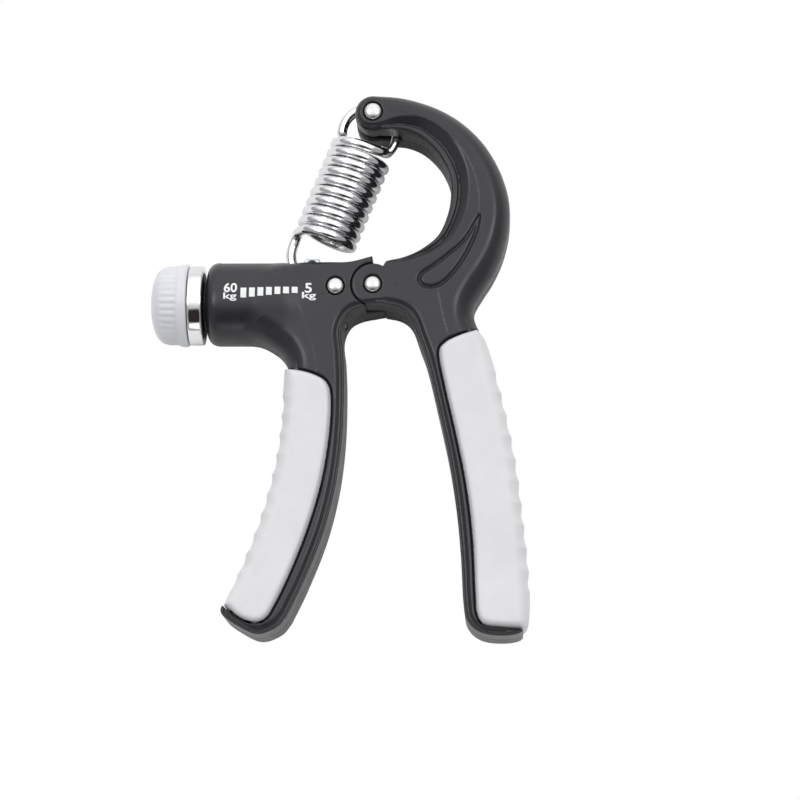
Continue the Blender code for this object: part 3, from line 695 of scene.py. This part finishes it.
def colour_mix(tree, share, start, end):
    """Colour between two. The first may be a socket."""
    node = tree.nodes.new("ShaderNodeMix")
    node.data_type = "RGBA"
    first, second = [s for s in node.inputs if s.type == "RGBA"][:2]
    if isinstance(start, tuple):
        first.default_value = (*start, 1)
    else:
        tree.links.new(start, first)
    second.default_value = (*end, 1)
    tree.links.new(share, node.inputs["Factor"])
    return [s for s in node.outputs if s.type == "RGBA"][0]


def bumped(add, links, shader, value, distance, strength=1.0):
    node = add("ShaderNodeBump", Strength=strength, Distance=distance)
    links.new(value, node.inputs["Height"])
    links.new(node.outputs["Normal"], shader.inputs["Normal"])


def moulded(name, dark, light, roughness, grain, depth, **sockets):
    """Moulded plastic: spark-eroded grain, faint cloudiness in colour and gloss, other sockets by name."""
    mat, links, shader, add, coords = new_look(name)
    cloud = ranged(add, links, noise(add, links, coords, 70, 4), 0, 1)
    links.new(colour_mix(mat.node_tree, cloud, dark, light), shader.inputs["Base Color"])
    fine = noise(add, links, coords, grain, 2)
    gloss = noise(add, links, coords, 240, 3)
    links.new(ranged(add, links, gloss, roughness - 0.04, roughness + 0.05), shader.inputs["Roughness"])
    bumped(add, links, shader, fine, depth)
    for key, value in sockets.items():
        shader.inputs[key.replace("_", " ").title()].default_value = value
    return mat


def metal(name, dark, light, roughness, scratch=(900, 900, 900), depth=2e-6, spread=0.03):
    """Metal with fine wear: scratch gives the noise's scale along each axis."""
    mat, links, shader, add, coords = new_look(name)
    mapping = add("ShaderNodeMapping")
    mapping.inputs["Scale"].default_value = scratch
    links.new(coords, mapping.inputs["Vector"])
    fine = noise(add, links, mapping.outputs["Vector"], 1.0, 4)
    cloud = ranged(add, links, noise(add, links, coords, 150, 3), 0, 1)
    links.new(colour_mix(mat.node_tree, cloud, dark, light), shader.inputs["Base Color"])
    links.new(ranged(add, links, fine, roughness - spread, roughness + spread), shader.inputs["Roughness"])
    bumped(add, links, shader, fine, depth)
    shader.inputs["Metallic"].default_value = 1.0
    return mat


def make_looks():
    return {
        "charcoal": moulded("charcoal_plastic", (0.0165, 0.0165, 0.0195), (0.022, 0.022, 0.0255),
                            0.3, 3800, 6e-6),
        "grip": moulded("soft_grip_rubber", (0.70, 0.70, 0.715), (0.76, 0.76, 0.77), 0.62, 2600, 1.2e-5),
        "knob": moulded("knob_translucent", (0.68, 0.69, 0.725), (0.73, 0.735, 0.77), 0.36, 2200, 4e-6,
                        subsurface_weight=0.35, subsurface_radius=(1.0, 1.0, 1.1), subsurface_scale=0.0025),
        "black": moulded("hub_black", (0.012, 0.012, 0.013), (0.018, 0.018, 0.019), 0.5, 3000, 6e-6),
        "nylon": moulded("nylon_white", (0.72, 0.71, 0.66), (0.80, 0.79, 0.74), 0.45, 2600, 5e-6),
        "print": moulded("scale_ink", (0.84, 0.85, 0.86), (0.92, 0.92, 0.93), 0.55, 5200, 3e-6),
        "chrome": metal("chrome_plate", (0.80, 0.80, 0.81), (0.87, 0.87, 0.88), 0.07, spread=0.025),
        "nickel": metal("rivet_nickel", (0.66, 0.65, 0.64), (0.76, 0.75, 0.74), 0.27,
                        (2600, 2600, 700), 5e-6, 0.06),
        "zinc": metal("zinc_plate", (0.56, 0.60, 0.62), (0.66, 0.69, 0.70), 0.34,
                      (1500, 1500, 1500), 6e-6, 0.07),
    }


# ---- mouldings
def right_frame(look):
    """Handle, hinge disc in the front half, and the hook with its leaf."""
    outline = Outline(right_outline())
    room = Outline(grip_room(right_grip_rim(), 9))
    core = Outline(core_outline("right"))
    leaf = Outline(leaf_outline())
    start, along, _ = spring_line()
    eye = start + along * eye_centre()

    def shape(x, y, z):
        inside, width, rim = outline(x, y)
        leaf_inside = leaf(x, y)[0]
        relief = LEAF_DEPTH * np.exp(-(leaf_inside / 0.5) ** 2)
        body = parted(moulding(inside, width, rim, z, relief=relief), z)
        body = cut(body, -room(x, y)[0])
        body = union(body, np.maximum(-core(x, y)[0], np.abs(z) - CORE))
        recess = np.maximum(np.hypot(x, y) - RECESS_R, z - LAP)
        body = cut(body, recess)
        slot = np.hypot(x - eye[0], y - eye[1]) - (COIL_R + WIRE_R + GAP)
        slot = np.minimum(slot, np.maximum(x - eye[0] - 2.0, eye[1] - y))
        slot = np.maximum(slot, np.abs(z) - EAR_SLOT_HALF)
        body = cut(body, slot)
        body = drilled(body, x, y, z, HINGE_RIVET, SHANK_R + GAP, HEAD_R)
        return drilled(body, x, y, z, HOOK_RIVET, SHANK_R + GAP, HOOK_HEAD_R)

    points, quads = surface(shape, levels(-8, 46, FINE), levels(-102, 59, FINE), thickness_levels(FACE))
    return solid("right_frame_shell", points, quads, "right_handle", look,
                 ["right_frame"])


def squeezed_coil(x, y, z):
    """Distance to the room that the coil needs at full squeeze, when it leans over the hinge."""
    start, along, _ = spring_line()
    lean = math.atan2(along[1], along[0]) - math.radians(SQUEEZE)
    x, y = x - start[0], y - start[1]
    up = x * math.cos(lean) + y * math.sin(lean)
    across = x * math.sin(lean) - y * math.cos(lean)
    return np.maximum(np.hypot(across, z) - COIL_R - WIRE_R - 0.15, COIL_START + 1.2 - up)


def left_solid():
    """Distance function of the left frame: handle, hinge disc in the rear half, and the slotted barrel."""
    outline = Outline(left_outline())
    room = Outline(grip_room(left_grip_rim(), -9))
    core = Outline(core_outline("left"))

    def shape(x, y, z):
        inside, width, rim = outline(x, y)
        body = parted(moulding(inside, width, rim, z), z)
        body = cut(body, -room(x, y)[0])
        body = union(body, np.maximum(-core(x, y)[0], np.abs(z) - CORE))
        around = np.hypot(y - AXIS_Y, z)
        taper = BARREL_TAPER * smoothstep(x, TAPER_LEFT, BARREL_RIGHT)
        skin = np.hypot((y - AXIS_Y - BARREL_RISE) / BARREL_TALL, z) - BARREL_R
        barrel = overlap(skin + taper, BARREL_LEFT - x, 2 * BARREL_EDGE)
        barrel = np.maximum(barrel, x - BARREL_RIGHT)
        body = union(body, barrel, BARREL_BLEND)
        body = cut(body, np.maximum(around - BORE_R, x - BORE_END))
        body = cut(body, np.maximum(around - END_POCKET_R, x - SLOT_RIGHT + 0.1))
        slot = np.maximum(np.abs(z) - SLOT_HALF, between(x, SLOT_LEFT, SLOT_RIGHT))
        body = cut(body, np.maximum(slot, SLOT_FLOOR - y), 0.2)
        recess = np.maximum(np.hypot(x, y) - RECESS_R, -LAP - z)
        body = cut(body, recess)
        body = cut(body, squeezed_coil(x, y, z))
        body = drilled(body, x, y, z, HINGE_RIVET, SHANK_R + GAP, HEAD_R)
        return drilled(body, x, y, z, END_RIVET, SHANK_R + GAP, HEAD_R)

    return shape


def left_frame(shape, look):
    """Handle, hinge disc in the rear half, and the slotted barrel, from left_solid()."""
    points, quads = surface(shape, levels(-49, 8, FINE), levels(-102, 10, FINE),
                            thickness_levels(BARREL_R + 0.3))
    return solid("left_frame_shell", points, quads, "left_handle", look,
                 ["left_frame"])


def grip(handle, outline_loop, scallops, xs, look):
    """Soft grip with scallops along its outer side, C-shaped round the handle's core."""
    outline = Outline(outline_loop)
    core = Outline(core_outline(handle, GAP))
    low, high, pitch = scallops
    reach = GRIP_FACE - GRIP_WALL

    def shape(x, y, z):
        inside, width, _ = outline(x, y)
        wave = np.abs(np.sin(math.pi * (y - low) / pitch))
        fade = smoothstep(y, low - 1, low + 1.5) * (1 - smoothstep(y, high - 1.5, high + 1))
        outer = smoothstep(width, 2.0, 4.0) * (1 - smoothstep(inside, 1.0, 6.5))
        inside = inside - SCALLOP * (wave - 0.15) * fade * outer
        body = overlap(quarter(inside, np.abs(z) - GRIP_BAND, width + 0.8, GRIP_FACE - GRIP_BAND + 0.25),
                       np.abs(z) - GRIP_FACE, 0.5)
        return cut(body, np.maximum(-core(x, y)[0], np.abs(z) - reach))

    points, quads = surface(shape, xs, levels(-100, -10, FINE), thickness_levels(GRIP_FACE))
    return solid(handle + "_grip_soft", points, quads, handle + "_handle", look,
                 [handle + "_grip"])


# ---- fasteners, knob and screw
def rivet(name, centre, head_radius, body, look, node):
    """Rivet with a domed head at each face."""
    seat = FACE - SINK + GAP
    top = FACE + HEAD_RISE
    edge = seat + 0.35
    half = [(SHANK_R, seat), (head_radius - 0.1, seat), (head_radius, seat + 0.1)]
    for i in range(12):
        a = math.radians(90 * i / 12)
        half.append((head_radius * math.cos(a), edge + (top - edge) * math.sin(a)))
    half.append((0.08, top))
    half.append((0, top))
    profile = [(r, -z) for r, z in half[::-1]] + half
    points, faces = turned(profile, 48)
    points = points + np.array([*centre, 0])
    return solid(name, points, outwards(points, faces), body, look, [node], 50)


def knob_cap(look):
    """Fluted cap with a low domed end and a flange against the collar."""
    inner = KNOB_LEFT + KNOB_WALL
    dome = [(0.3, 0), (2.6, 0.04), (4.6, 0.18), (6.4, 0.55), (8.2, 1.15), (9.6, 1.95), (10.5, 2.75),
            (10.95, 3.5), (11.1, 4.1), (KNOB_R, 5.2)]
    skin = [(0, KNOB_LEFT)]
    skin += [(r, KNOB_LEFT + x) for r, x in dome]
    skin += [(KNOB_R, KNOB_LEFT + 6.4), (KNOB_R, FLANGE_LEFT - 0.9), (KNOB_R + 0.05, FLANGE_LEFT - 0.5),
             (KNOB_R + 0.3, FLANGE_LEFT - 0.1), (FLANGE_R - 0.1, FLANGE_LEFT + 0.3),
             (FLANGE_R, FLANGE_LEFT + 0.8), (FLANGE_R, FLANGE_RIGHT - 0.5),
             (FLANGE_R - 0.15, FLANGE_RIGHT - 0.15), (FLANGE_R - 0.5, FLANGE_RIGHT),
             (HUB_R + GAP, FLANGE_RIGHT), (HUB_R + GAP, inner), (0, inner)]
    sides = FLUTES * 8

    def flute(radius, x, angles):
        part = smoothstep(np.array(x), KNOB_LEFT + 2.6, KNOB_LEFT + 4.4)
        part = part * (1 - smoothstep(np.array(x), FLANGE_LEFT - 0.8, FLANGE_LEFT - 0.3))
        part = part * (radius > HUB_R + 1)
        wave = 0.5 + 0.5 * np.cos(FLUTES * angles)
        return radius - FLUTE_DEPTH * part * wave ** 1.5

    points, faces = turned(skin, sides, flute)
    points = along_barrel(points)
    return solid("knob_cap_fluted", points, outwards(points, faces), "knob", look,
                 ["knob_cap"], 50)


def knob_parts(looks):
    """Hub with its screw, chrome collar and thrust washer."""
    left = KNOB_LEFT + KNOB_WALL + GAP
    hub = [(1.3, left + 2.4), (3.6, left + 2.4), (3.6, left), (HUB_R, left), (HUB_R, COLLAR_RIGHT),
           (SCREW_R + GAP, COLLAR_RIGHT), (SCREW_R + GAP, SCREW_LEFT - GAP), (1.3, SCREW_LEFT - GAP)]
    ring_piece("knob_hub_black", hub, "knob", looks["black"], ["knob_hub"])
    seat = left + 2.1
    screw = [(0, left + 0.9), (1.1, left + 0.9), (1.3, left + 0.3), (3.1, left + 0.3), (3.1, left + 0.9),
             (1.0, seat), (1.0, SCREW_LEFT + 5), (0, SCREW_LEFT + 5)]
    ring_piece("knob_screw_zinc", screw, "knob", looks["zinc"], ["knob_screw"], sides=48)
    collar_left = FLANGE_RIGHT + GAP
    collar = [(HUB_R + GAP, collar_left), (COLLAR_R - 0.12, collar_left), (COLLAR_R, collar_left + 0.5),
              (COLLAR_R, COLLAR_RIGHT - 0.5), (COLLAR_R - 0.12, COLLAR_RIGHT), (HUB_R + GAP, COLLAR_RIGHT)]
    ring_piece("chrome_collar_bright", collar, "knob", looks["chrome"], ["chrome_collar"], edge=0.4,
               sides=160)
    # Thrust washer in black plastic. Its black also serves as painted shade in the narrow gap between the
    # collar and the barrel.
    washer = [(SCREW_R + GAP, COLLAR_RIGHT + GAP), (7.0, COLLAR_RIGHT + GAP), (7.0, BARREL_LEFT - 0.1),
              (SCREW_R + GAP, BARREL_LEFT - 0.1)]
    ring_piece("thrust_washer_black_gap_shade", washer, "knob", looks["black"], ["thrust_washer"])


def lead_screw(look):
    """Threaded rod, plain where the knob and the bush hold it, with a journal at its inner end."""
    sides = 32
    rows_per_turn = 12
    root = SCREW_R - THREAD
    count = int((SCREW_RIGHT - SCREW_LEFT) / SCREW_PITCH * rows_per_turn)
    angles = 2 * math.pi * np.arange(sides) / sides
    rows = [(1.3, SCREW_LEFT + 6, False), (1.3, SCREW_LEFT, False)]
    for i in range(count + 1):
        x = SCREW_LEFT + i * SCREW_PITCH / rows_per_turn
        rows.append((root, x, SLOT_LEFT + 1 < x < SCREW_RIGHT - 0.3))
    rows += [(JOURNAL_R, SCREW_RIGHT + 0.1, False), (JOURNAL_R, JOURNAL_END - 0.2, False),
             (JOURNAL_R - 0.2, JOURNAL_END, False)]
    points = []
    for radius, x, threaded in rows:
        if threaded:
            phase = np.abs((x / SCREW_PITCH - angles / (2 * math.pi)) % 1.0 - 0.5) * 2
            r = SCREW_R - THREAD * (1 - smoothstep(phase, 0.12, 0.88))
        else:
            r = np.full(sides, radius)
        points.append(np.stack([r * np.cos(angles), r * np.sin(angles), np.full(sides, x)], 1))
    points = along_barrel(np.concatenate(points))
    faces = outwards(points, ring_faces(len(rows), sides))
    return solid("lead_screw_threaded", points, faces, "knob", look, ["lead_screw"], 50)


def small_rings(looks):
    """Bush, washer, roller, sleeve and pin."""
    bush_left, bush_right = BARREL_LEFT + 0.2, BARREL_LEFT + 3.8
    bush = [(SCREW_R + GAP, bush_left), (BORE_R - GAP, bush_left), (BORE_R - GAP, bush_right),
            (SCREW_R + GAP, bush_right)]
    ring_piece("barrel_bush_nylon", bush, "left_handle", looks["nylon"], ["barrel_bush"])
    upright = [
        ("hinge_washer_zinc", (0, 0), SHANK_R + GAP, 4.6, LAP - GAP, "hinge_pin", "hinge_washer"),
        ("hook_roller_zinc", HOOK_RIVET, SHANK_R + GAP, ROLLER_R, EAR_SLOT_HALF - GAP, "right_handle",
         "hook_roller"),
        ("pin_sleeve_zinc", ANCHOR, 1.5, SLEEVE_R, 1.5, "traveller", "pin_sleeve"),
    ]
    for name, centre, inner, outer, half, body, node in upright:
        section = [(inner, -half), (outer, -half), (outer, half), (inner, half)]
        ring_piece(name, section, body, looks["zinc"], [node], centre, 0.12, 64)
    end = SLOT_HALF - GAP
    pin = [(0, -end), (1.0, -end), (1.2, 0.2 - end), (1.2, end - 0.2), (1.0, end), (0, end)]
    ring_piece("traveller_pin_nickel", pin, "traveller", looks["nickel"], ["traveller_pin"],
               ANCHOR, 0.05, 48)


def traveller(look):
    """Nut that slides in the barrel, with two ears through the slot for the spring's pin."""
    left = ANCHOR[0] - NUT_LEFT
    right = ANCHOR[0] + NUT_RIGHT

    def shape(x, y, z):
        around = np.hypot(y - AXIS_Y, z)
        nut = overlap(around - BORE_R + GAP, between(x, left, right), 0.5)
        nut = overlap(nut, y - NUT_TOP, 0.3)
        ear = overlap(np.abs(x - ANCHOR[0]) - EAR_HALF, between(y, 0.6, ANCHOR[1] + EAR_TOP), 1.2)
        ear = overlap(ear, between(np.abs(z), EAR_INSIDE, SLOT_HALF - GAP), 0.3)
        body = union(nut, ear, 0.5)
        body = cut(body, around - SCREW_R - GAP)
        return cut(body, np.hypot(x - ANCHOR[0], y - ANCHOR[1]) - 1.5)

    step = 0.22
    points, quads = surface(shape, levels(left - 0.5, right + 0.5, step), levels(-12.5, 10.8, step),
                            levels(-8.3, 8.3, step))
    return solid("traveller_nut_zinc", points, quads, "traveller", look, ["traveller_nut"])


# ---- spring
def spring_line():
    """Anchor, unit vector from the anchor to the hook's pin, and the distance between them."""
    start = np.array([*ANCHOR, 0.0])
    reach = np.array([*HOOK_RIVET, 0.0]) - start
    length = np.linalg.norm(reach)
    return start, reach / length, length


def eye_centre():
    """Distance from the anchor to the middle of the spring's upper eye."""
    return spring_line()[2] - (COIL_R - WIRE_R - ROLLER_R - GAP)


def spring_path():
    """Centre line of the whole spring: lower hook, coil and upper eye."""
    start, along, _ = spring_line()
    across = np.array([along[1], -along[0], 0])
    depth = np.cross(along, across)

    def coil(turns):
        a = 2 * math.pi * turns
        return (start + along * (COIL_START + COIL_PITCH * turns)
                + COIL_R * (math.cos(a) * across + math.sin(a) * depth))

    def loop(centre, degrees):
        a = math.radians(degrees)
        return start + along * centre + COIL_R * (math.cos(a) * across + math.sin(a) * along)

    hook_centre = COIL_R - WIRE_R - SLEEVE_R - GAP
    last = FIRST_TURN + COIL_TURNS
    per_turn = 40
    hook = [loop(hook_centre, d) for d in np.linspace(HOOK_END, 180, 16)]
    shoulder = loop(hook_centre, 180) + along * 2.4 - depth * 0.5
    entry = spline([hook[-1], shoulder, coil(FIRST_TURN - 0.06) - along * 0.6, coil(FIRST_TURN + 0.03)], 6)
    count = round((COIL_TURNS - 0.18) * per_turn)
    helix = [coil(FIRST_TURN + 0.09 + (COIL_TURNS - 0.18) * i / count) for i in range(count + 1)]
    eye = [loop(eye_centre(), d) for d in np.arange(-15, 203, 7.5)]
    leave = spline([coil(last - 0.03), coil(last + 0.05) + along * 0.6, loop(eye_centre(), -27) - depth * 0.5,
                    eye[0]], 6)
    return hook[:-1] + entry + helix + leave + eye[1:]


def spring(look):
    """One wire in one fixed shape, though the real coil stretches as the handles close."""
    points, faces = tube(spring_path(), WIRE_R)
    wire = solid("spring_wire", points, faces, None, look, ["spring_lower", "spring_upper"])
    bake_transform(wire)
    return wire


# ---- printed scale
def letters(text, left, top, width, height):
    """Flat mesh of a text that fills a box, in strips thin enough to bend round the barrel."""
    curve = bpy.data.curves.new("letters", "FONT")
    curve.body = text
    curve.size = 1.0
    curve.resolution_u = 3
    curve.offset = BOLD
    obj = bpy.data.objects.new("letters", curve)
    bpy.context.scene.collection.objects.link(obj)
    mesh = bmesh.new()
    mesh.from_mesh(obj.to_mesh())
    obj.to_mesh_clear()
    bpy.data.objects.remove(obj)
    co = np.array([v.co for v in mesh.verts])
    low, high = co.min(0), co.max(0)
    size = np.array([width, height, 1]) / np.maximum(high - low, 1e-6)
    size[2] = 0
    for y in np.arange(low[1], high[1], STRIP / size[1])[1:]:
        mesh_parts = mesh.verts[:] + mesh.edges[:] + mesh.faces[:]
        bmesh.ops.bisect_plane(mesh, geom=mesh_parts, plane_co=(0, y, 0), plane_no=(0, 1, 0))
    mesh.verts.index_update()
    points = (np.array([v.co for v in mesh.verts]) - [low[0], high[1], 0]) * size + [left, top, 0]
    faces = [[v.index for v in f.verts] for f in mesh.faces]
    mesh.free()
    return points, faces


def bar(left, low, high):
    """One bar of the scale, in strips."""
    rows = int((high - low) / STRIP) + 2
    points = [(x, y, 0) for y in np.linspace(low, high, rows) for x in (left, left + BAR_WIDTH)]
    return np.array(points), [(2 * i, 2 * i + 1, 2 * i + 3, 2 * i + 2) for i in range(rows - 1)]


def scale_print(shape, look):
    """White marks on the barrel: a weight at each end, and bars between them that grow to the left."""
    parts = [letters(*text) for text in TEXTS]
    for i in range(BARS):
        low, high = [end + rise * (i / (BARS - 1)) for end, rise in zip(FIRST_BAR, BAR_RISE)]
        parts.append(bar(BARS_LEFT + BAR_PITCH * i, low, high))
    points, all_faces = [], []
    for co, faces in parts:
        base = sum(len(p) for p in points)
        points.append(co)
        all_faces += [[base + i for i in f] for f in faces]
    points = np.concatenate(points)
    points[:, 2] = front_height(shape, points[:, 0], points[:, 1]) + INK
    return solid("scale_print", points, all_faces, "left_handle", look)


def front_height(shape, x, y):
    """Height of a solid's front surface over points, met from in front."""
    z = np.linspace(BARREL_R + 1, FACE - 4, 200)
    value = shape(x[:, None], y[:, None], z[None, :])
    first = np.argmax(value < 0, axis=1)
    row = np.arange(len(x))
    outside, within = value[row, first - 1], value[row, first]
    return z[first - 1] + (z[first] - z[first - 1]) * outside / (outside - within)


# ---- stage
def camera_switch(tree, unseen, seen, output):
    """One look for the camera and another for the light in the scene."""
    path = tree.nodes.new("ShaderNodeLightPath")
    mix = tree.nodes.new("ShaderNodeMixShader")
    tree.links.new(path.outputs["Is Camera Ray"], mix.inputs["Fac"])
    tree.links.new(unseen, mix.inputs[1])
    tree.links.new(seen, mix.inputs[2])
    tree.links.new(mix.outputs["Shader"], tree.nodes[output].inputs["Surface"])


def add_camera():
    """Camera above the object as it lies on a table, tilted towards the ends of the handles."""
    back = Vector((math.tan(math.radians(TILT_RIGHT)), -math.tan(math.radians(TILT_DOWN)), 1)).normalized()
    right = (Vector((1, 0, 0)) - back * back.x).normalized()
    up = back.cross(right)
    data = bpy.data.cameras.new("camera")
    data.lens = LENS
    data.sensor_width = 36
    data.clip_start = 0.01
    cam = bpy.data.objects.new("camera", data)
    bpy.context.scene.collection.objects.link(cam)
    aim = Vector(place((*CAMERA_AIM, 0)))
    cam.matrix_world = Matrix.Translation(aim + back * CAMERA_DISTANCE * MM) @ Matrix(
        (right, up, back)).transposed().to_4x4()
    bpy.context.scene.camera = cam


def add_floor():
    """White table that shows as plain white."""
    mat = bpy.data.materials.new("white_table")
    mat.use_nodes = True
    shader = mat.node_tree.nodes["Principled BSDF"]
    shader.inputs["Base Color"].default_value = (0.9, 0.9, 0.9, 1)
    shader.inputs["Roughness"].default_value = 0.9
    glow = mat.node_tree.nodes.new("ShaderNodeEmission")
    camera_switch(mat.node_tree, shader.outputs["BSDF"], glow.outputs["Emission"], "Material Output")
    half = 3.0
    data = bpy.data.meshes.new("table")
    corners = [(-half, -half, 0), (half, -half, 0), (half, half, 0), (-half, half, 0)]
    data.from_pydata(corners, [], [(0, 1, 2, 3)])
    data.materials.append(mat)
    table = bpy.data.objects.new("table", data)
    bpy.context.scene.collection.objects.link(table)
    table.location.z = -0.0002


def add_world():
    """Grey room with a pale ceiling, two lamps and a dark patch by the handles. The camera sees white."""
    world = bpy.data.worlds.new("studio")
    bpy.context.scene.world = world
    world.use_nodes = True
    nodes, links = world.node_tree.nodes, world.node_tree.links
    direction = nodes.new("ShaderNodeTexCoord").outputs["Generated"]

    def patch(axis, inner, outer, under, colour):
        """Colour over a round patch of the room, which fades between two angles from its axis."""
        dot = nodes.new("ShaderNodeVectorMath")
        dot.operation = "DOT_PRODUCT"
        dot.inputs[1].default_value = Vector(axis).normalized()
        links.new(direction, dot.inputs[0])
        fade = nodes.new("ShaderNodeMapRange")
        fade.interpolation_type = "SMOOTHSTEP"
        fade.inputs["From Min"].default_value = math.cos(math.radians(outer))
        fade.inputs["From Max"].default_value = math.cos(math.radians(inner))
        links.new(dot.outputs["Value"], fade.inputs["Value"])
        return colour_mix(world.node_tree, fade.outputs["Result"], under, colour)

    room = patch((0, 0.8, 1), 15, 70, (0.38, 0.38, 0.39), (1.35, 1.35, 1.35))
    room = patch((0, 0.2, 1), 10, 20, room, (1.3, 1.31, 1.35))
    for across in (-0.58, 0.58):
        room = patch((across, 0.1, 1), 8, 15, room, (4.2, 4.2, 4.2))
    room = patch((0, -0.95, 1), 17, 25, room, (0.03, 0.025, 0.025))
    room = patch((0, -1, 0.28), 8, 13, room, (1.4, 1.4, 1.4))
    light = nodes["Background"]
    links.new(room, light.inputs["Color"])
    white = nodes.new("ShaderNodeBackground")
    white.inputs["Color"].default_value = (1, 1, 1, 1)
    camera_switch(world.node_tree, light.outputs["Background"], white.outputs["Background"], "World Output")


def carry_over(looks):
    """Better materials for the CAD nodes that stay."""
    for node, look in {"retaining_clip": "zinc", "end_bearing": "nylon"}.items():
        obj = frame["nodes"][node]
        for slot in obj.material_slots:
            slot.material = looks[look]


def main():
    looks = make_looks()
    add_camera()
    add_world()
    add_floor()
    right_frame(looks["charcoal"])
    left = left_solid()
    left_frame(left, looks["charcoal"])
    grip("left", left_grip_outline(), LEFT_SCALLOPS, levels(-44, -9, FINE), looks["grip"])
    grip("right", right_grip_outline(), RIGHT_SCALLOPS, levels(17, 47, FINE), looks["grip"])
    rivet("hinge_rivet_domed", HINGE_RIVET, HEAD_R, "hinge_pin", looks["nickel"], "hinge_rivet")
    rivet("end_rivet_domed", END_RIVET, HEAD_R, "left_handle", looks["nickel"], "end_rivet")
    rivet("hook_rivet_domed", HOOK_RIVET, HOOK_HEAD_R, "right_handle", looks["nickel"], "hook_rivet")
    knob_cap(looks["knob"])
    knob_parts(looks)
    lead_screw(looks["zinc"])
    small_rings(looks)
    traveller(looks["zinc"])
    spring(looks["chrome"])
    scale_print(left, looks["print"])
    carry_over(looks)
    bpy.context.scene.view_settings.view_transform = "Standard"


main()
